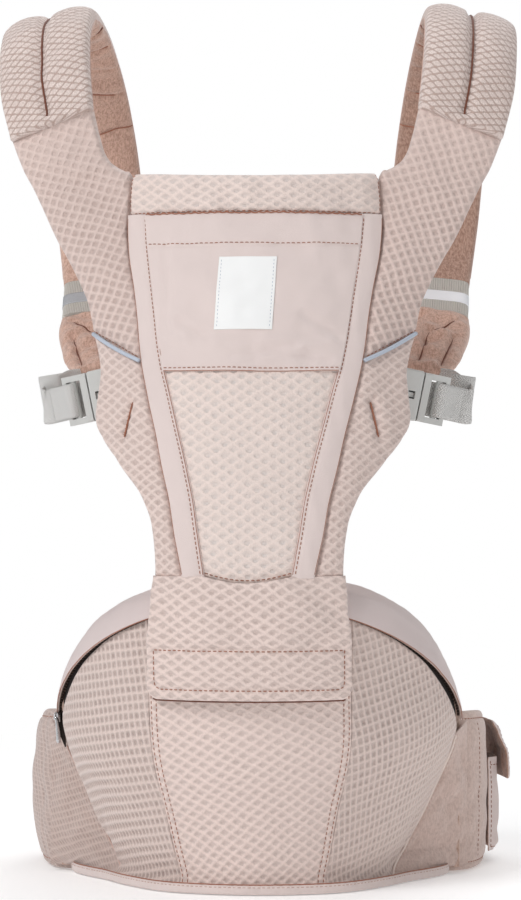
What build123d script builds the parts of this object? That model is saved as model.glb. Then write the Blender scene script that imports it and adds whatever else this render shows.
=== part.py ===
from build123d import *
import math
import os
import numpy as np

# Soft baby carrier with a hip seat.  Millimetres.  +Z is up, -Y is the outer (front) side,
# +Y is the wearer's side, "right" is +X.  The origin is the centre of the seat's flat underside.

os.makedirs("parts", exist_ok=True)

# ---------------------------------------------------------------- driving dimensions
SEAT_BACK_Y = 45.0               # plane of the seat's back, against the wearer
SEAT_DEPTH_BASE, SEAT_DEPTH_TOP = 115.0, 179.0   # depth in front of the back plane
SEAT_DEPTH_Z = 212.0             # height at which the top depth is reached
ZIP_Z, ZIP_RISE = 108.0, 99.0    # zip line height at the sides, and its rise to the front
LID_Z, LID_RISE = 118.0, 102.0   # lid height at the sides, and its rise to the front
LID_HALF_WIDTH = 147.0
COVER_T = 3.0                    # cover fabric with its backing
BASE_T = 3.0                     # stiff base panel
BELT_TOP = 117.0                 # height of the waistbelt beside the seat
PANEL_Z0, PANEL_Z1 = 224.0, 475.0   # body panel, lower seam to top seam
SEAM_GAP = 0.4                   # the panel fabric stops this far below the top seam
HEAD_Z1 = 503.0                  # top of the head and neck support
STRAP_T = 22.0                   # nominal padded shoulder strap thickness
WEB_STRAP, WEB_WAIST, WEB_CHEST = 25.0, 38.0, 20.0   # webbing widths
WEB_T = 1.8                      # webbing thickness
CHEST_WEB_T = 1.4                # chest webbing thickness
BUCKLE_Z = 347.0                 # height of the side buckles
WAIST_Y, WAIST_Z = 243.0, 50.0   # waist buckle
CHEST_Y, CHEST_Z = 175.0, 490.0  # chest buckle

UP = np.array([0, 0, 1.0])


# ---------------------------------------------------------------- helpers
def solid_from(triangles):
    """Solid bounded by the triangles, turned so that its volume is positive."""
    faces = []
    for triangle in triangles:
        corners = [tuple(float(v) for v in point) for point in triangle]
        faces.append(Face(Wire.make_polygon(corners, close=True)))
    solid = Solid(Shell(faces))
    if solid.volume < 0:
        solid = Solid(Shell([-face for face in faces]))
    return solid


def quad(a, b, c, d):
    return [(a, b, c), (a, c, d)]


def sheet(front, back):
    """Closed solid between two grids of points of the same shape (n, m, 3)."""
    f, b = np.asarray(front, float), np.asarray(back, float)
    n, m = f.shape[:2]
    triangles = []
    for i in range(n - 1):
        for j in range(m - 1):
            triangles += quad(f[i, j], f[i, j + 1], f[i + 1, j + 1], f[i + 1, j])
            triangles += quad(b[i, j], b[i + 1, j], b[i + 1, j + 1], b[i, j + 1])
    for i in range(n - 1):
        triangles += quad(f[i, 0], f[i + 1, 0], b[i + 1, 0], b[i, 0])
        triangles += quad(f[i, m - 1], b[i, m - 1], b[i + 1, m - 1], f[i + 1, m - 1])
    for j in range(m - 1):
        triangles += quad(f[0, j], b[0, j], b[0, j + 1], f[0, j + 1])
        triangles += quad(f[n - 1, j], f[n - 1, j + 1], b[n - 1, j + 1], b[n - 1, j])
    return solid_from(triangles)


def tube(sections):
    """Closed solid through closed sections (n, k, 3), ends capped from their centres."""
    s = np.asarray(sections, float)
    n, k = s.shape[:2]
    triangles = []
    for i in range(n - 1):
        for j in range(k):
            q = (j + 1) % k
            triangles += quad(s[i, j], s[i, q], s[i + 1, q], s[i + 1, j])
    for j in range(k):
        q = (j + 1) % k
        triangles.append((s[0].mean(0), s[0, q], s[0, j]))
    for j in range(k):
        q = (j + 1) % k
        triangles.append((s[-1].mean(0), s[-1, j], s[-1, q]))
    return solid_from(triangles)


def spline(points, count):
    """Catmull-Rom curve through the points, sampled count times by chord length."""
    p = np.asarray(points, float)
    chord = np.r_[0, np.cumsum(np.linalg.norm(np.diff(p, axis=0), axis=1))]
    tangents = np.zeros_like(p)
    for i in range(len(p)):
        a, b = max(i - 1, 0), min(i + 1, len(p) - 1)
        tangents[i] = (p[b] - p[a]) / (chord[b] - chord[a])
    samples = []
    for x in np.linspace(0, chord[-1], count):
        i = min(max(np.searchsorted(chord, x) - 1, 0), len(p) - 2)
        h = chord[i + 1] - chord[i]
        s = (x - chord[i]) / h
        samples.append(p[i] * (2 * s**3 - 3 * s**2 + 1)
                       + tangents[i] * h * (s**3 - 2 * s**2 + s)
                       + p[i + 1] * (-2 * s**3 + 3 * s**2)
                       + tangents[i + 1] * h * (s**3 - s**2))
    return np.array(samples)


def lookup(table, value):
    """Linear interpolation in a table of (position, value) pairs."""
    return float(np.interp(value, *zip(*table)))


def unit(v):
    return v / np.linalg.norm(v)


def across(v, direction):
    """Unit vector along v with its part along the unit direction removed."""
    return unit(v - direction * v.dot(direction))


def plan_normal(direction):
    """Unit vector in plan, a quarter turn clockwise from the direction."""
    d = unit(direction)
    return np.array([d[1], -d[0], 0.0])


def cord_section(centre, outward, half_depth, front, back, half_height):
    """Six-sided cord section; front and back are the reach of its upper and lower corners."""
    outline = ((half_depth, 0), (front, half_height), (-back, half_height),
               (-half_depth, 0), (-back, -half_height), (front, -half_height))
    return [centre + outward * a + UP * b for a, b in outline]


def box_at(centre, size):
    return Location(centre) * Box(*size)


def mirror_x(points):
    """Mirror an array of points in the YZ plane."""
    points = np.array(points, float)
    points[..., 0] *= -1
    return points


def both_sides(build, *grids):
    """Right solid built from the grids, and the left one from their mirror image."""
    return [build(*grids), build(*(mirror_x(grid) for grid in grids))]


def save(name, shape):
    export_step(shape, "parts/%s.step" % name)


def save_pair(name, solids):
    right, left = solids
    save(name + "_right", right)
    save(name + "_left", left)


# ---------------------------------------------------------------- seat
# The seat wall is addressed by an angle phi, 0 at the front and positive towards +X.
SEAT_HALF_WIDTH = [   # height, half width
    (0, 97.0), (10, 104.0), (30, 113.5), (62, 126.0), (90, 139.0), (105, 143.5), (118, 145.0)]
PHI_END = math.radians(86)
SEAM_PHI = 0.50       # seam between the front cover and the side covers
SEAM_HALF_GAP = 0.004   # radians
CORE_INSET = COVER_T + 1.2
CORE_Z0 = 4.2


def seat_depth(z):
    u = min(max(z / SEAT_DEPTH_Z, 0.0), 1.0)
    return (SEAT_DEPTH_BASE + (SEAT_DEPTH_TOP - SEAT_DEPTH_BASE) * u ** 0.8
            + 5.0 * math.sin(math.pi * u))


def zip_z(phi):
    return ZIP_Z + ZIP_RISE * math.cos(phi)


def lid_z(phi):
    return LID_Z + LID_RISE * math.sqrt(max(1 - abs(math.sin(phi)) ** 2.8, 0))


def wall(phi, z, inset=0.0):
    """Point on the seat wall; a negative inset stands outside it."""
    return ((lookup(SEAT_HALF_WIDTH, z) - inset) * math.sin(phi),
            SEAT_BACK_Y - (seat_depth(z) - inset) * math.cos(phi), z)


def wall_patch(phi0, phi1, inset, columns, rows=12, z0=3.6, zip_gap=1.0):
    """Grid on the wall from z0 up to zip_gap below the zip line."""
    grid = []
    for t in np.arange(rows) / (rows - 1):
        row = []
        for j in range(columns):
            phi = phi0 + (phi1 - phi0) * j / (columns - 1)
            row.append(wall(phi, z0 + t * (zip_z(phi) - zip_gap - z0), inset))
        grid.append(row)
    return grid


def seat_cover(phi0, phi1):
    return sheet(wall_patch(phi0, phi1, 0.0, 11), wall_patch(phi0, phi1, COVER_T, 11))


save("seat_front_cover", seat_cover(-SEAM_PHI + SEAM_HALF_GAP, SEAM_PHI - SEAM_HALF_GAP))
save("seat_side_cover_right", seat_cover(SEAM_PHI + SEAM_HALF_GAP, PHI_END))
save("seat_side_cover_left", seat_cover(-PHI_END, -SEAM_PHI - SEAM_HALF_GAP))


def lid_grid(inset):
    """From the zip line up over the lid's edge, then back to the wearer's side."""
    rows = []
    for phi in np.linspace(-PHI_END, PHI_END, 31):
        zip_height, top = zip_z(phi), lid_z(phi)
        zip_x, zip_y, _ = wall(phi, zip_height, inset)
        lid_x = (LID_HALF_WIDTH - inset) * math.sin(phi)
        rise = max(top - zip_height, 2.0)
        edge_y = min(zip_y + 9.0 * math.cos(phi), SEAT_BACK_Y - 12) + inset * 0.3
        row = [(zip_x, zip_y, zip_height + 0.2),
               ((zip_x + lid_x) / 2, zip_y + 0.8, zip_height + rise * 0.55 - inset * 0.3),
               (lid_x, edge_y, zip_height + rise - inset)]
        for s in (0.4, 0.75, 1.0):
            row.append((lid_x, edge_y + (SEAT_BACK_Y - 0.4 - edge_y) * s, top - inset))
        rows.append(row)
    return rows


save("seat_lid_cover", sheet(lid_grid(0.0), lid_grid(COVER_T)))


def foam_core():
    sections = []
    back_y = SEAT_BACK_Y - 0.8
    for phi in np.linspace(-PHI_END, PHI_END, 25):
        zip_height = zip_z(phi)
        heights = (CORE_Z0, 0.25 * zip_height, 0.5 * zip_height, 0.75 * zip_height,
                   zip_height - 3)
        section = [wall(phi, z, CORE_INSET) for z in heights]
        top_x = (LID_HALF_WIDTH - CORE_INSET - 0.4) * math.sin(phi)
        top_y = min(section[-1][1] + 8.0, SEAT_BACK_Y - 6)
        top_z = max(lid_z(phi) - CORE_INSET, zip_height - 2.0)
        section += [(top_x, top_y, top_z), (top_x, back_y, top_z),
                    (section[0][0], back_y, CORE_Z0)]
        sections.append(section)
    return tube(sections)


save("seat_foam_core", foam_core())

BASE_RIM = [   # x, y of the right half of the base outline, from the front centre
    (0, -77.0), (33, -72.5), (63, -59.5), (91, -28), (107, -2), (122, 17), (131, 32),
    (134.5, 44.0)]
base_rim = spline([(-x, y, 0) for x, y in BASE_RIM[::-1]]
                  + [(x, y, 0) for x, y in BASE_RIM[1:]], 33)


def base_panel():
    """Stiff panel with the flat underside."""
    outline = Wire.make_polygon([(x, y, 0) for x, y, _ in base_rim], close=True)
    return Solid.extrude(Face(outline), Vector(0, 0, BASE_T))


save("seat_base_panel", base_panel())


def back_pad_grid(y, crown):
    rows = []
    for t in np.linspace(0, 1, 6):
        row = []
        for x in np.linspace(-138, 138, 21):
            top = 110 + 82 * math.sqrt(max(1 - (abs(x) / 140.0) ** 2.8, 0))
            bulge = (crown * math.cos(x / 138 * math.pi / 2)
                     * math.sin(math.pi * min(t * 0.8 + 0.1, 1)))
            row.append((x, y + bulge, t * top))
        rows.append(row)
    return rows


# belly pad that the seat is sewn to, the front part of the waistbelt
save("seat_back_pad", sheet(back_pad_grid(46.2, crown=0.0), back_pad_grid(57.0, crown=4.0)))


def zip_chain():
    """Thin cord along the zip line, just outside the cover."""
    sections = []
    for phi in np.linspace(-math.radians(84.5), math.radians(84.5), 35):
        outward = np.array([math.sin(phi), -math.cos(phi), 0.0])
        centre = np.array(wall(phi, zip_z(phi), -2.0))
        sections.append(cord_section(centre, outward, half_depth=1.3, front=0.65,
                                     back=0.91, half_height=1.6))
    return tube(sections)


def hem_binding():
    """Binding round the lower front edge of the seat."""
    sections = []
    for i in range(1, len(base_rim) - 1):
        outward = plan_normal(base_rim[i + 1] - base_rim[i - 1])
        centre = base_rim[i] + UP * 3.6 + outward * 2.6
        sections.append(cord_section(centre, outward, half_depth=1.7, front=1.02,
                                     back=1.02, half_height=3.3))
    return tube(sections)


save("seat_zip_chain", zip_chain())
save("seat_hem_binding", hem_binding())

# ---------------------------------------------------------------- zip slider and pull
# Slider frame at the left end of the zip: X along the zip, Z out of the wall.
SLIDER_PHI = -math.radians(83)
SLIDER_STANDOFF = 4.2
PIVOT_X, PIVOT_Z = 2.6, 5.5     # pull pivot in the slider frame


def slider_path(phi):
    return np.array(wall(phi, zip_z(phi), -SLIDER_STANDOFF))


slider_centre = slider_path(SLIDER_PHI)
slider_along = unit(slider_path(SLIDER_PHI + 0.02) - slider_path(SLIDER_PHI - 0.02))
slider_out = across(np.array([math.sin(SLIDER_PHI), -math.cos(SLIDER_PHI), 0.0]), slider_along)
slider_plane = Plane(origin=tuple(slider_centre), x_dir=tuple(slider_along),
                     z_dir=tuple(slider_out))


def pivot_pin(radius, length):
    return Location((PIVOT_X, 0, PIVOT_Z)) * Rotation(90, 0, 0) * Cylinder(radius, length)


def zip_slider():
    body = box_at((0, 0, 2.2), (11, 8, 2.6))
    body = fillet(body.edges().filter_by(Axis.Z), 2.2)
    ear = box_at((PIVOT_X, 0, 5.3), (2.2, 3.8, 4.2))
    ear -= pivot_pin(0.85, 8)
    return slider_plane * (body + ear)


def zip_pull():
    """Pull hanging down from the slider's ear, with its cross pin."""
    thickness = 1.4
    pivot = slider_centre + slider_along * PIVOT_X + slider_out * PIVOT_Z
    side = unit(np.cross(slider_out, slider_along))
    down = across(-UP, side)
    pull_plane = Plane(origin=tuple(pivot), x_dir=tuple(down),
                       z_dir=tuple(np.cross(down, side)))
    arms = (box_at((4.2, 2.7, 0), (9.6, 1.0, thickness))
            + box_at((4.2, -2.7, 0), (9.6, 1.0, thickness)))
    tab = box_at((15.5, 0, 0), (15.0, 6.4, thickness))
    tab = fillet(tab.edges().filter_by(Axis.Z), 2.0)
    return pull_plane * (arms + tab) + slider_plane * pivot_pin(0.75, 6.4)


save("zip_slider", zip_slider())
save("zip_pull", zip_pull())

# ---------------------------------------------------------------- waistbelt
# x, y of the right wing's outer and inner faces in plan, from the seat round to the back
BELT_OUTER = [(143, 48), (155, 60), (163, 80), (166, 108), (163, 142), (151, 177), (130, 206),
              (104, 226)]
BELT_INNER = [(140, 62), (147, 70), (151, 86), (152.5, 108), (149.5, 138), (139, 168),
              (120, 193), (97, 211)]
BELT_STATIONS = 19
BULGE_LEFT, BULGE_RIGHT = 8.0, 1.0   # the left wing is fuller; the right carries the pouch
belt_outer = spline([(x, y, 0) for x, y in BELT_OUTER], BELT_STATIONS)
belt_inner = spline([(x, y, 0) for x, y in BELT_INNER], BELT_STATIONS)


def belt_normal(i):
    return plan_normal(belt_outer[min(i + 1, BELT_STATIONS - 1)] - belt_outer[max(i - 1, 0)])


def belt_sections(bulge):
    sections = []
    for i in range(BELT_STATIONS):
        s = i / (BELT_STATIONS - 1)
        z0 = 14 * max(s - 0.72, 0) / 0.28
        z1 = BELT_TOP - 20 * s ** 1.5 - 7 * max(s - 0.75, 0) / 0.25
        height = z1 - z0
        outer, inner = belt_outer[i], belt_inner[i]
        middle = (outer + inner) / 2
        edge_outer = middle * 0.6 + outer * 0.4
        edge_inner = middle * 0.6 + inner * 0.4
        swell = belt_normal(i) * bulge * math.sin(math.pi * min(s * 1.15 + 0.08, 1.0))
        section = [
            (outer, z0 + 5), (outer + swell * 0.8, z0 + height * 0.28),
            (outer + swell, z0 + height * 0.55), (outer + swell * 0.7, z0 + height * 0.78),
            (outer, z1 - 6), (edge_outer, z1), (edge_inner, z1),
            (inner, z1 - 6), (inner, (z0 + z1) / 2), (inner, z0 + 5),
            (edge_inner, z0), (edge_outer, z0)]
        sections.append([(p[0], p[1], z) for p, z in section])
    return sections


save("belt_pad_right", tube(belt_sections(BULGE_RIGHT)))
save("belt_pad_left", tube(mirror_x(belt_sections(BULGE_LEFT))))

# x, y of the waist webbing in plan, from the buckle to the wing
WAIST_PATH_RIGHT = [(12, 251), (40, 251), (72, 250.6), (86, 245), (94.5, 233.5), (99.2, 223.2)]
# the left webbing loops through the slot of the buckle body
WAIST_PATH_LEFT = [
    (-58, 248.6), (-48, 250.5), (-35.6, 250.6), (-34.2, 250.0), (-33.7, 249.0),
    (-33.7, 237.0), (-34.2, 236.0), (-35.6, 235.4), (-50, 235.6), (-70, 236.5), (-84, 234),
    (-93, 229), (-99.2, 221.5)]


def waist_webbing(path):
    """Flat webbing standing on edge along a plan path."""
    path = np.asarray(path, float)
    along = np.gradient(path, axis=0)
    along /= np.linalg.norm(along, axis=1)[:, None]
    offset = np.c_[-along[:, 1], along[:, 0]] * WEB_T / 2
    heights = (WAIST_Z - WEB_WAIST / 2, WAIST_Z + WEB_WAIST / 2)
    return sheet(*([[(x, y, z) for z in heights] for x, y in side]
                   for side in (path + offset, path - offset)))


save("waist_webbing_right", waist_webbing(WAIST_PATH_RIGHT))
save("waist_webbing_left", waist_webbing(WAIST_PATH_LEFT))

# accessory pouch on the right wing, and its flap
POUCH_FIRST, POUCH_LAST = 6, 12   # belt stations at the pouch's ends
POUCH_PROFILE = [(8, 5.5), (14, 8.5), (44, 9.0), (76, 8.0)]   # height, distance off the belt
POUCH_END_TAPER = 3.0
FLAP_PROFILE = [(104.6, 2.6), (99, 5.5), (84, 10.4), (62.0, 11.6)]   # height, distance
FLAP_CORNER_Z = 66.0              # the lower corners of the flap are cut up to here
FLAP_T = 2.2


def pouch_body():
    outer, inner = [], []
    for i in range(POUCH_FIRST, POUCH_LAST + 1):
        taper = POUCH_END_TAPER if i in (POUCH_FIRST, POUCH_LAST) else 0.0
        foot, normal = belt_outer[i], belt_normal(i)
        outer.append([foot + normal * (out - taper) + UP * z for z, out in POUCH_PROFILE])
        inner.append([foot + normal * 2.0 + UP * z for z, _ in POUCH_PROFILE])
    return sheet(outer, inner)


def pouch_flap():
    middle = (POUCH_FIRST + POUCH_LAST) // 2
    normal = belt_normal(middle)
    along = np.array([-normal[1], normal[0], 0])
    span = belt_outer[POUCH_LAST] - belt_outer[POUCH_FIRST]
    half = np.linalg.norm(span) / 2 + 1.5
    outer, inner = [], []
    for s in (-1, -0.9, 0, 0.9, 1):
        profile = list(FLAP_PROFILE)
        if abs(s) == 1:
            profile[-1] = (FLAP_CORNER_Z, profile[-1][1])
        foot = belt_outer[middle] + along * half * s
        outer.append([foot + UP * z + normal * (out + FLAP_T) for z, out in profile])
        inner.append([foot + UP * z + normal * out for z, out in profile])
    return sheet(outer, inner)


save("pouch_body", pouch_body())
save("pouch_flap", pouch_flap())

# ---------------------------------------------------------------- body panel
PANEL_PROFILE = [   # z, y of the outer face on the centre line
    (200, -139), (224, -134), (260, -127), (300, -118.5), (350, -105), (400, -88), (450, -70),
    (476, -62), (505, -56), (560, -44)]
TRIM_OUTER = [   # z, half width at the outer edge of the trim
    (224, 45.0), (251, 51), (274, 54.6), (295, 60), (319, 65.0), (343, 71.0), (365, 76.0),
    (384, 79.0), (403, 81), (423, 84), (445, 88.4), (463, 90.0), (475.5, 90.0)]
TRIM_INNER = [   # z, half width at the inner edge of the trim
    (224, 30.6), (253, 35.5), (274, 38.5), (303, 45), (326, 51), (350, 57), (366, 61.5),
    (384, 65), (403, 67.5), (414, 69), (434, 72), (453, 74.6), (475.5, 76.3)]
WING_EDGE = [   # z, half width at the outer edge of the wings
    (224, 65.0), (232, 65), (246, 66), (263, 69), (274, 74), (282, 77.5), (291, 85.5),
    (304, 95.5), (319.5, 107.5), (330, 111.6), (344, 110), (365, 107.8), (381, 111),
    (391, 114.5)]
PIPE_INNER, PIPE_OUTER = (79.0, 371.0), (114.5, 391.0)   # x, z of the piping's ends
PANEL_TOP = PANEL_Z1 - SEAM_GAP


def panel_y(x, z):
    """Outer face of the panel."""
    return lookup(PANEL_PROFILE, z) + 45.0 * (abs(x) / 110.0) ** 2.2


def pipe_point(s):
    """x, z along the seam between wing and yoke, s = 0 at its inner end."""
    return (PIPE_INNER[0] + (PIPE_OUTER[0] - PIPE_INNER[0]) * s,
            PIPE_INNER[1] + (PIPE_OUTER[1] - PIPE_INNER[1]) * s)


def panel_grids(x_start, x_end, heights, columns, y0, y1):
    """Grids between two edge curves x(z), at y0 and y1 behind the panel's outer face."""
    grids = [], []
    for z in heights:
        xs = [x_start(z) + (x_end(z) - x_start(z)) * j / (columns - 1) for j in range(columns)]
        for grid, offset in zip(grids, (y0, y1)):
            grid.append([(x, panel_y(x, z) + offset, z) for x in xs])
    return grids


def centred_layer(edge, inset, heights, columns, y0, y1):
    """Layer symmetric about x = 0, inset from an edge table."""
    def half_width(z):
        return lookup(edge, z) - inset
    return sheet(*panel_grids(lambda z: -half_width(z), half_width, heights, columns, y0, y1))


panel_heights = np.linspace(PANEL_Z0, PANEL_TOP, 16)
save("panel_mesh_center", centred_layer(TRIM_INNER, 0.7, panel_heights, 11, 0.0, 6.0))
save("panel_pocket",
     centred_layer(TRIM_INNER, 0.8, np.linspace(365.6, PANEL_TOP, 9), 15, -2.3, -0.6))
save("panel_lining", centred_layer(
    TRIM_OUTER, 2.5, np.linspace(PANEL_Z0 + 1.0, PANEL_Z1 - 1.0, 14), 15, 6.8, 9.3))

LABEL_HEIGHTS = [392.5, 410, 427, 443.5]
LABEL_X0, LABEL_X1 = -25.4, 15.0   # lower corners
LABEL_LEAN = 0.05                  # x per z


def label_shift(z):
    return LABEL_LEAN * (z - LABEL_HEIGHTS[0])


save("panel_label", sheet(*panel_grids(
    lambda z: LABEL_X0 + label_shift(z), lambda z: LABEL_X1 + label_shift(z),
    LABEL_HEIGHTS, 5, -3.9, -3.0)))

save_pair("panel_trim", both_sides(sheet, *panel_grids(
    lambda z: lookup(TRIM_INNER, z), lambda z: lookup(TRIM_OUTER, z),
    panel_heights, 4, -2.0, 6.0)))


def wing_grids():
    """Side wing from the trim out to its edge, up to just below the piping."""
    outer, inner = [], []
    for t in np.linspace(0, 1, 16):
        outer_row, inner_row = [], []
        for s in np.linspace(0, 1, 7):
            top = pipe_point(s)[1] - 1.0
            z = PANEL_Z0 + (top - PANEL_Z0) * t
            x_inner = lookup(TRIM_OUTER, z) + 0.5
            x = x_inner + (lookup(WING_EDGE, z) - x_inner) * s
            thickness = 9.0 if s < 0.9 else 6.0
            outer_row.append((x, panel_y(x, z), z))
            inner_row.append((x, panel_y(x, z) + thickness, z))
        outer.append(outer_row)
        inner.append(inner_row)
    return outer, inner


save_pair("panel_wing", both_sides(sheet, *wing_grids()))

# ---------------------------------------------------------------- shoulder yoke and straps
# x, y, z of the right yoke's edges, from the wing up to the strap; y None lies on the panel
YOKE_INNER = [
    (80.0, None, 372.6), (82.2, None, 403), (85.2, None, 423), (89.6, None, 445),
    (91.2, None, 465), (90.8, None, 490), (91.4, None, 502), (103, -30, 518),
    (108, -29.5, 533), (116, -29, 548.5)]
YOKE_OUTER = [
    (115, None, 393.0), (119.5, -37, 412), (126, -34, 427), (135, -31, 445), (143, -28, 460),
    (154, -24, 484), (160, -22, 496), (167, -20, 508), (171, -19.6, 517.5),
    (174, -18.8, 526.5)]


def on_panel(points):
    return np.array([(x, panel_y(x, z) if y is None else y, z) for x, y, z in points])


def yoke_grids():
    inner_edge, outer_edge = on_panel(YOKE_INNER), on_panel(YOKE_OUTER)
    last = len(inner_edge) - 1
    front, back = [], []
    for i in range(last + 1):
        width = outer_edge[i] - inner_edge[i]
        after, before = min(i + 1, last), max(i - 1, 0)
        along = (inner_edge[after] + outer_edge[after]
                 - inner_edge[before] - outer_edge[before])
        normal = unit(np.cross(width, along))   # towards -Y
        front_row, back_row = [], []
        for s in np.linspace(0, 1, 6):
            point = inner_edge[i] + width * s
            front_row.append(point + normal * 3.0 * math.sin(math.pi * s))
            if s < 0.1:
                back_row.append(point + np.array([0.0, 8.0, 0.0]))
            else:
                back_row.append(point - normal * (11.0 if s < 0.9 else 8.0))
        front.append(front_row)
        back.append(back_row)
    return front, back


save_pair("shoulder_yoke", both_sides(sheet, *yoke_grids()))

# x, y, z of the right strap's two edges, over the shoulder and down the wearer's back
STRAP_INNER = [
    (116, -28, 552), (119.5, -18, 585), (121, 5, 613), (120, 42, 627), (114, 90, 615),
    (106, 130, 581), (99, 150, 535), (95, 157, 490), (94, 153, 458), (94, 141, 437)]
STRAP_OUTER = [
    (175, -17, 530), (183, -8, 562), (186, 12, 596), (185, 48, 613), (180, 94, 604),
    (172, 132, 572), (166, 153, 528), (162, 158, 486), (158, 154, 455), (155, 142, 434)]
CUFF_INNER = [(93, 140, 435.8), (94, 128, 422), (95, 116, 410)]
CUFF_OUTER = [(155, 141, 432.8), (154.5, 129, 419), (154, 117, 407)]
END_INNER = [(95.5, 114.8, 408.8), (98, 92, 392), (102, 68, 378), (107, 50, 369)]
END_OUTER = [(154, 115.8, 405.8), (153, 95, 389), (147, 70, 375), (137, 52, 366)]
# strap section as fractions of width and thickness
STRAP_SECTION = [
    (-0.5, -0.22), (-0.5, 0.22), (-0.43, 0.5), (-0.2, 0.5), (0.2, 0.5), (0.43, 0.5),
    (0.5, 0.22), (0.5, -0.22), (0.43, -0.5), (0.2, -0.5), (-0.2, -0.5), (-0.43, -0.5)]


def strap_sections(inner, outer, count, start_t, end_t):
    """Padded sections between two edge curves, the thickness going from start_t to end_t."""
    inner, outer = spline(inner, count), spline(outer, count)
    centres = (inner + outer) / 2
    along = np.gradient(centres, axis=0)
    sections = []
    for i in range(count):
        width = outer[i] - inner[i]
        normal = unit(np.cross(width, along[i]))
        thickness = start_t + (end_t - start_t) * i / (count - 1)
        sections.append([centres[i] + width * u + normal * thickness * v
                         for u, v in STRAP_SECTION])
    return sections


save_pair("strap_pad", both_sides(
    tube, strap_sections(STRAP_INNER, STRAP_OUTER, 25, STRAP_T - 2, STRAP_T - 4)))
save_pair("strap_cuff", both_sides(tube, strap_sections(CUFF_INNER, CUFF_OUTER, 4, 19, 18)))
save_pair("strap_end", both_sides(tube, strap_sections(END_INNER, END_OUTER, 8, 17, 11)))


def piping_sections():
    """Cord along the seam between wing and yoke."""
    sections = []
    for s in np.linspace(-0.01, 1.0, 9):
        x, z = pipe_point(s)
        centre = np.array([x, panel_y(x, z) - 3.4, z])
        sections.append(cord_section(centre, np.array([0, -1.0, 0]), half_depth=1.4,
                                     front=0.8, back=0.8, half_height=1.7))
    return sections


save("reflective_piping", Compound(both_sides(tube, piping_sections())))

# ---------------------------------------------------------------- head and neck support
HEAD_HALF_WIDTH = 89.2
HEAD_Z0 = PANEL_Z1 + 1.4


def head_grid(offset, edge_shift):
    """Face of the padded roll; edge_shift moves its top and bottom rows in y."""
    rows = []
    for t, shift in ((0, edge_shift), (0.3, 0), (0.7, 0), (1.0, edge_shift)):
        row = []
        for x in np.linspace(-HEAD_HALF_WIDTH, HEAD_HALF_WIDTH, 17):
            top = HEAD_Z1 - 3.0 * (1 - (x / HEAD_HALF_WIDTH) ** 2)
            row.append((x, panel_y(x, 485) + offset + shift, HEAD_Z0 + t * (top - HEAD_Z0)))
        rows.append(row)
    return rows


save("head_support", sheet(head_grid(-4.0, 2.5), head_grid(13.0, -2.5)))

# ---------------------------------------------------------------- seat flap and its tapes
FLAP_Y = [(137, -134.5), (165, -140.0), (195, -142.5), (212, -142.8), (222, -140.0)]   # z, y
FLAP_HALF_WIDTH = [   # z, half width
    (137, 62), (139, 66.5), (145, 69), (172, 69.6), (173, 69.6), (185, 68.6), (205, 67),
    (222, 65.5)]
FLAP_HEIGHTS = (137.2, 140, 146, 155, 165, 180, 195, 210, 221.6)
HOOK_HEIGHTS = (143, 150, 158, 167)


def flap_grid(offset, inset, heights):
    rows = []
    for z in heights:
        half = lookup(FLAP_HALF_WIDTH, z) - inset
        rows.append([(x, lookup(FLAP_Y, z) + offset + 22.0 * (abs(x) / 70.0) ** 2.2, z)
                     for x in np.linspace(-half, half, 13)])
    return rows


save("seat_flap", sheet(*(flap_grid(y, 0, FLAP_HEIGHTS) for y in (0.0, 4.0))))
save("flap_hook_tape", sheet(*(flap_grid(y, 6, HOOK_HEIGHTS) for y in (4.3, 5.3))))
save("seat_loop_tape", sheet(*(
    wall_patch(-0.40, 0.40, inset, columns=9, rows=4, z0=140, zip_gap=42)
    for inset in (-1.2, -0.2))))


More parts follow.
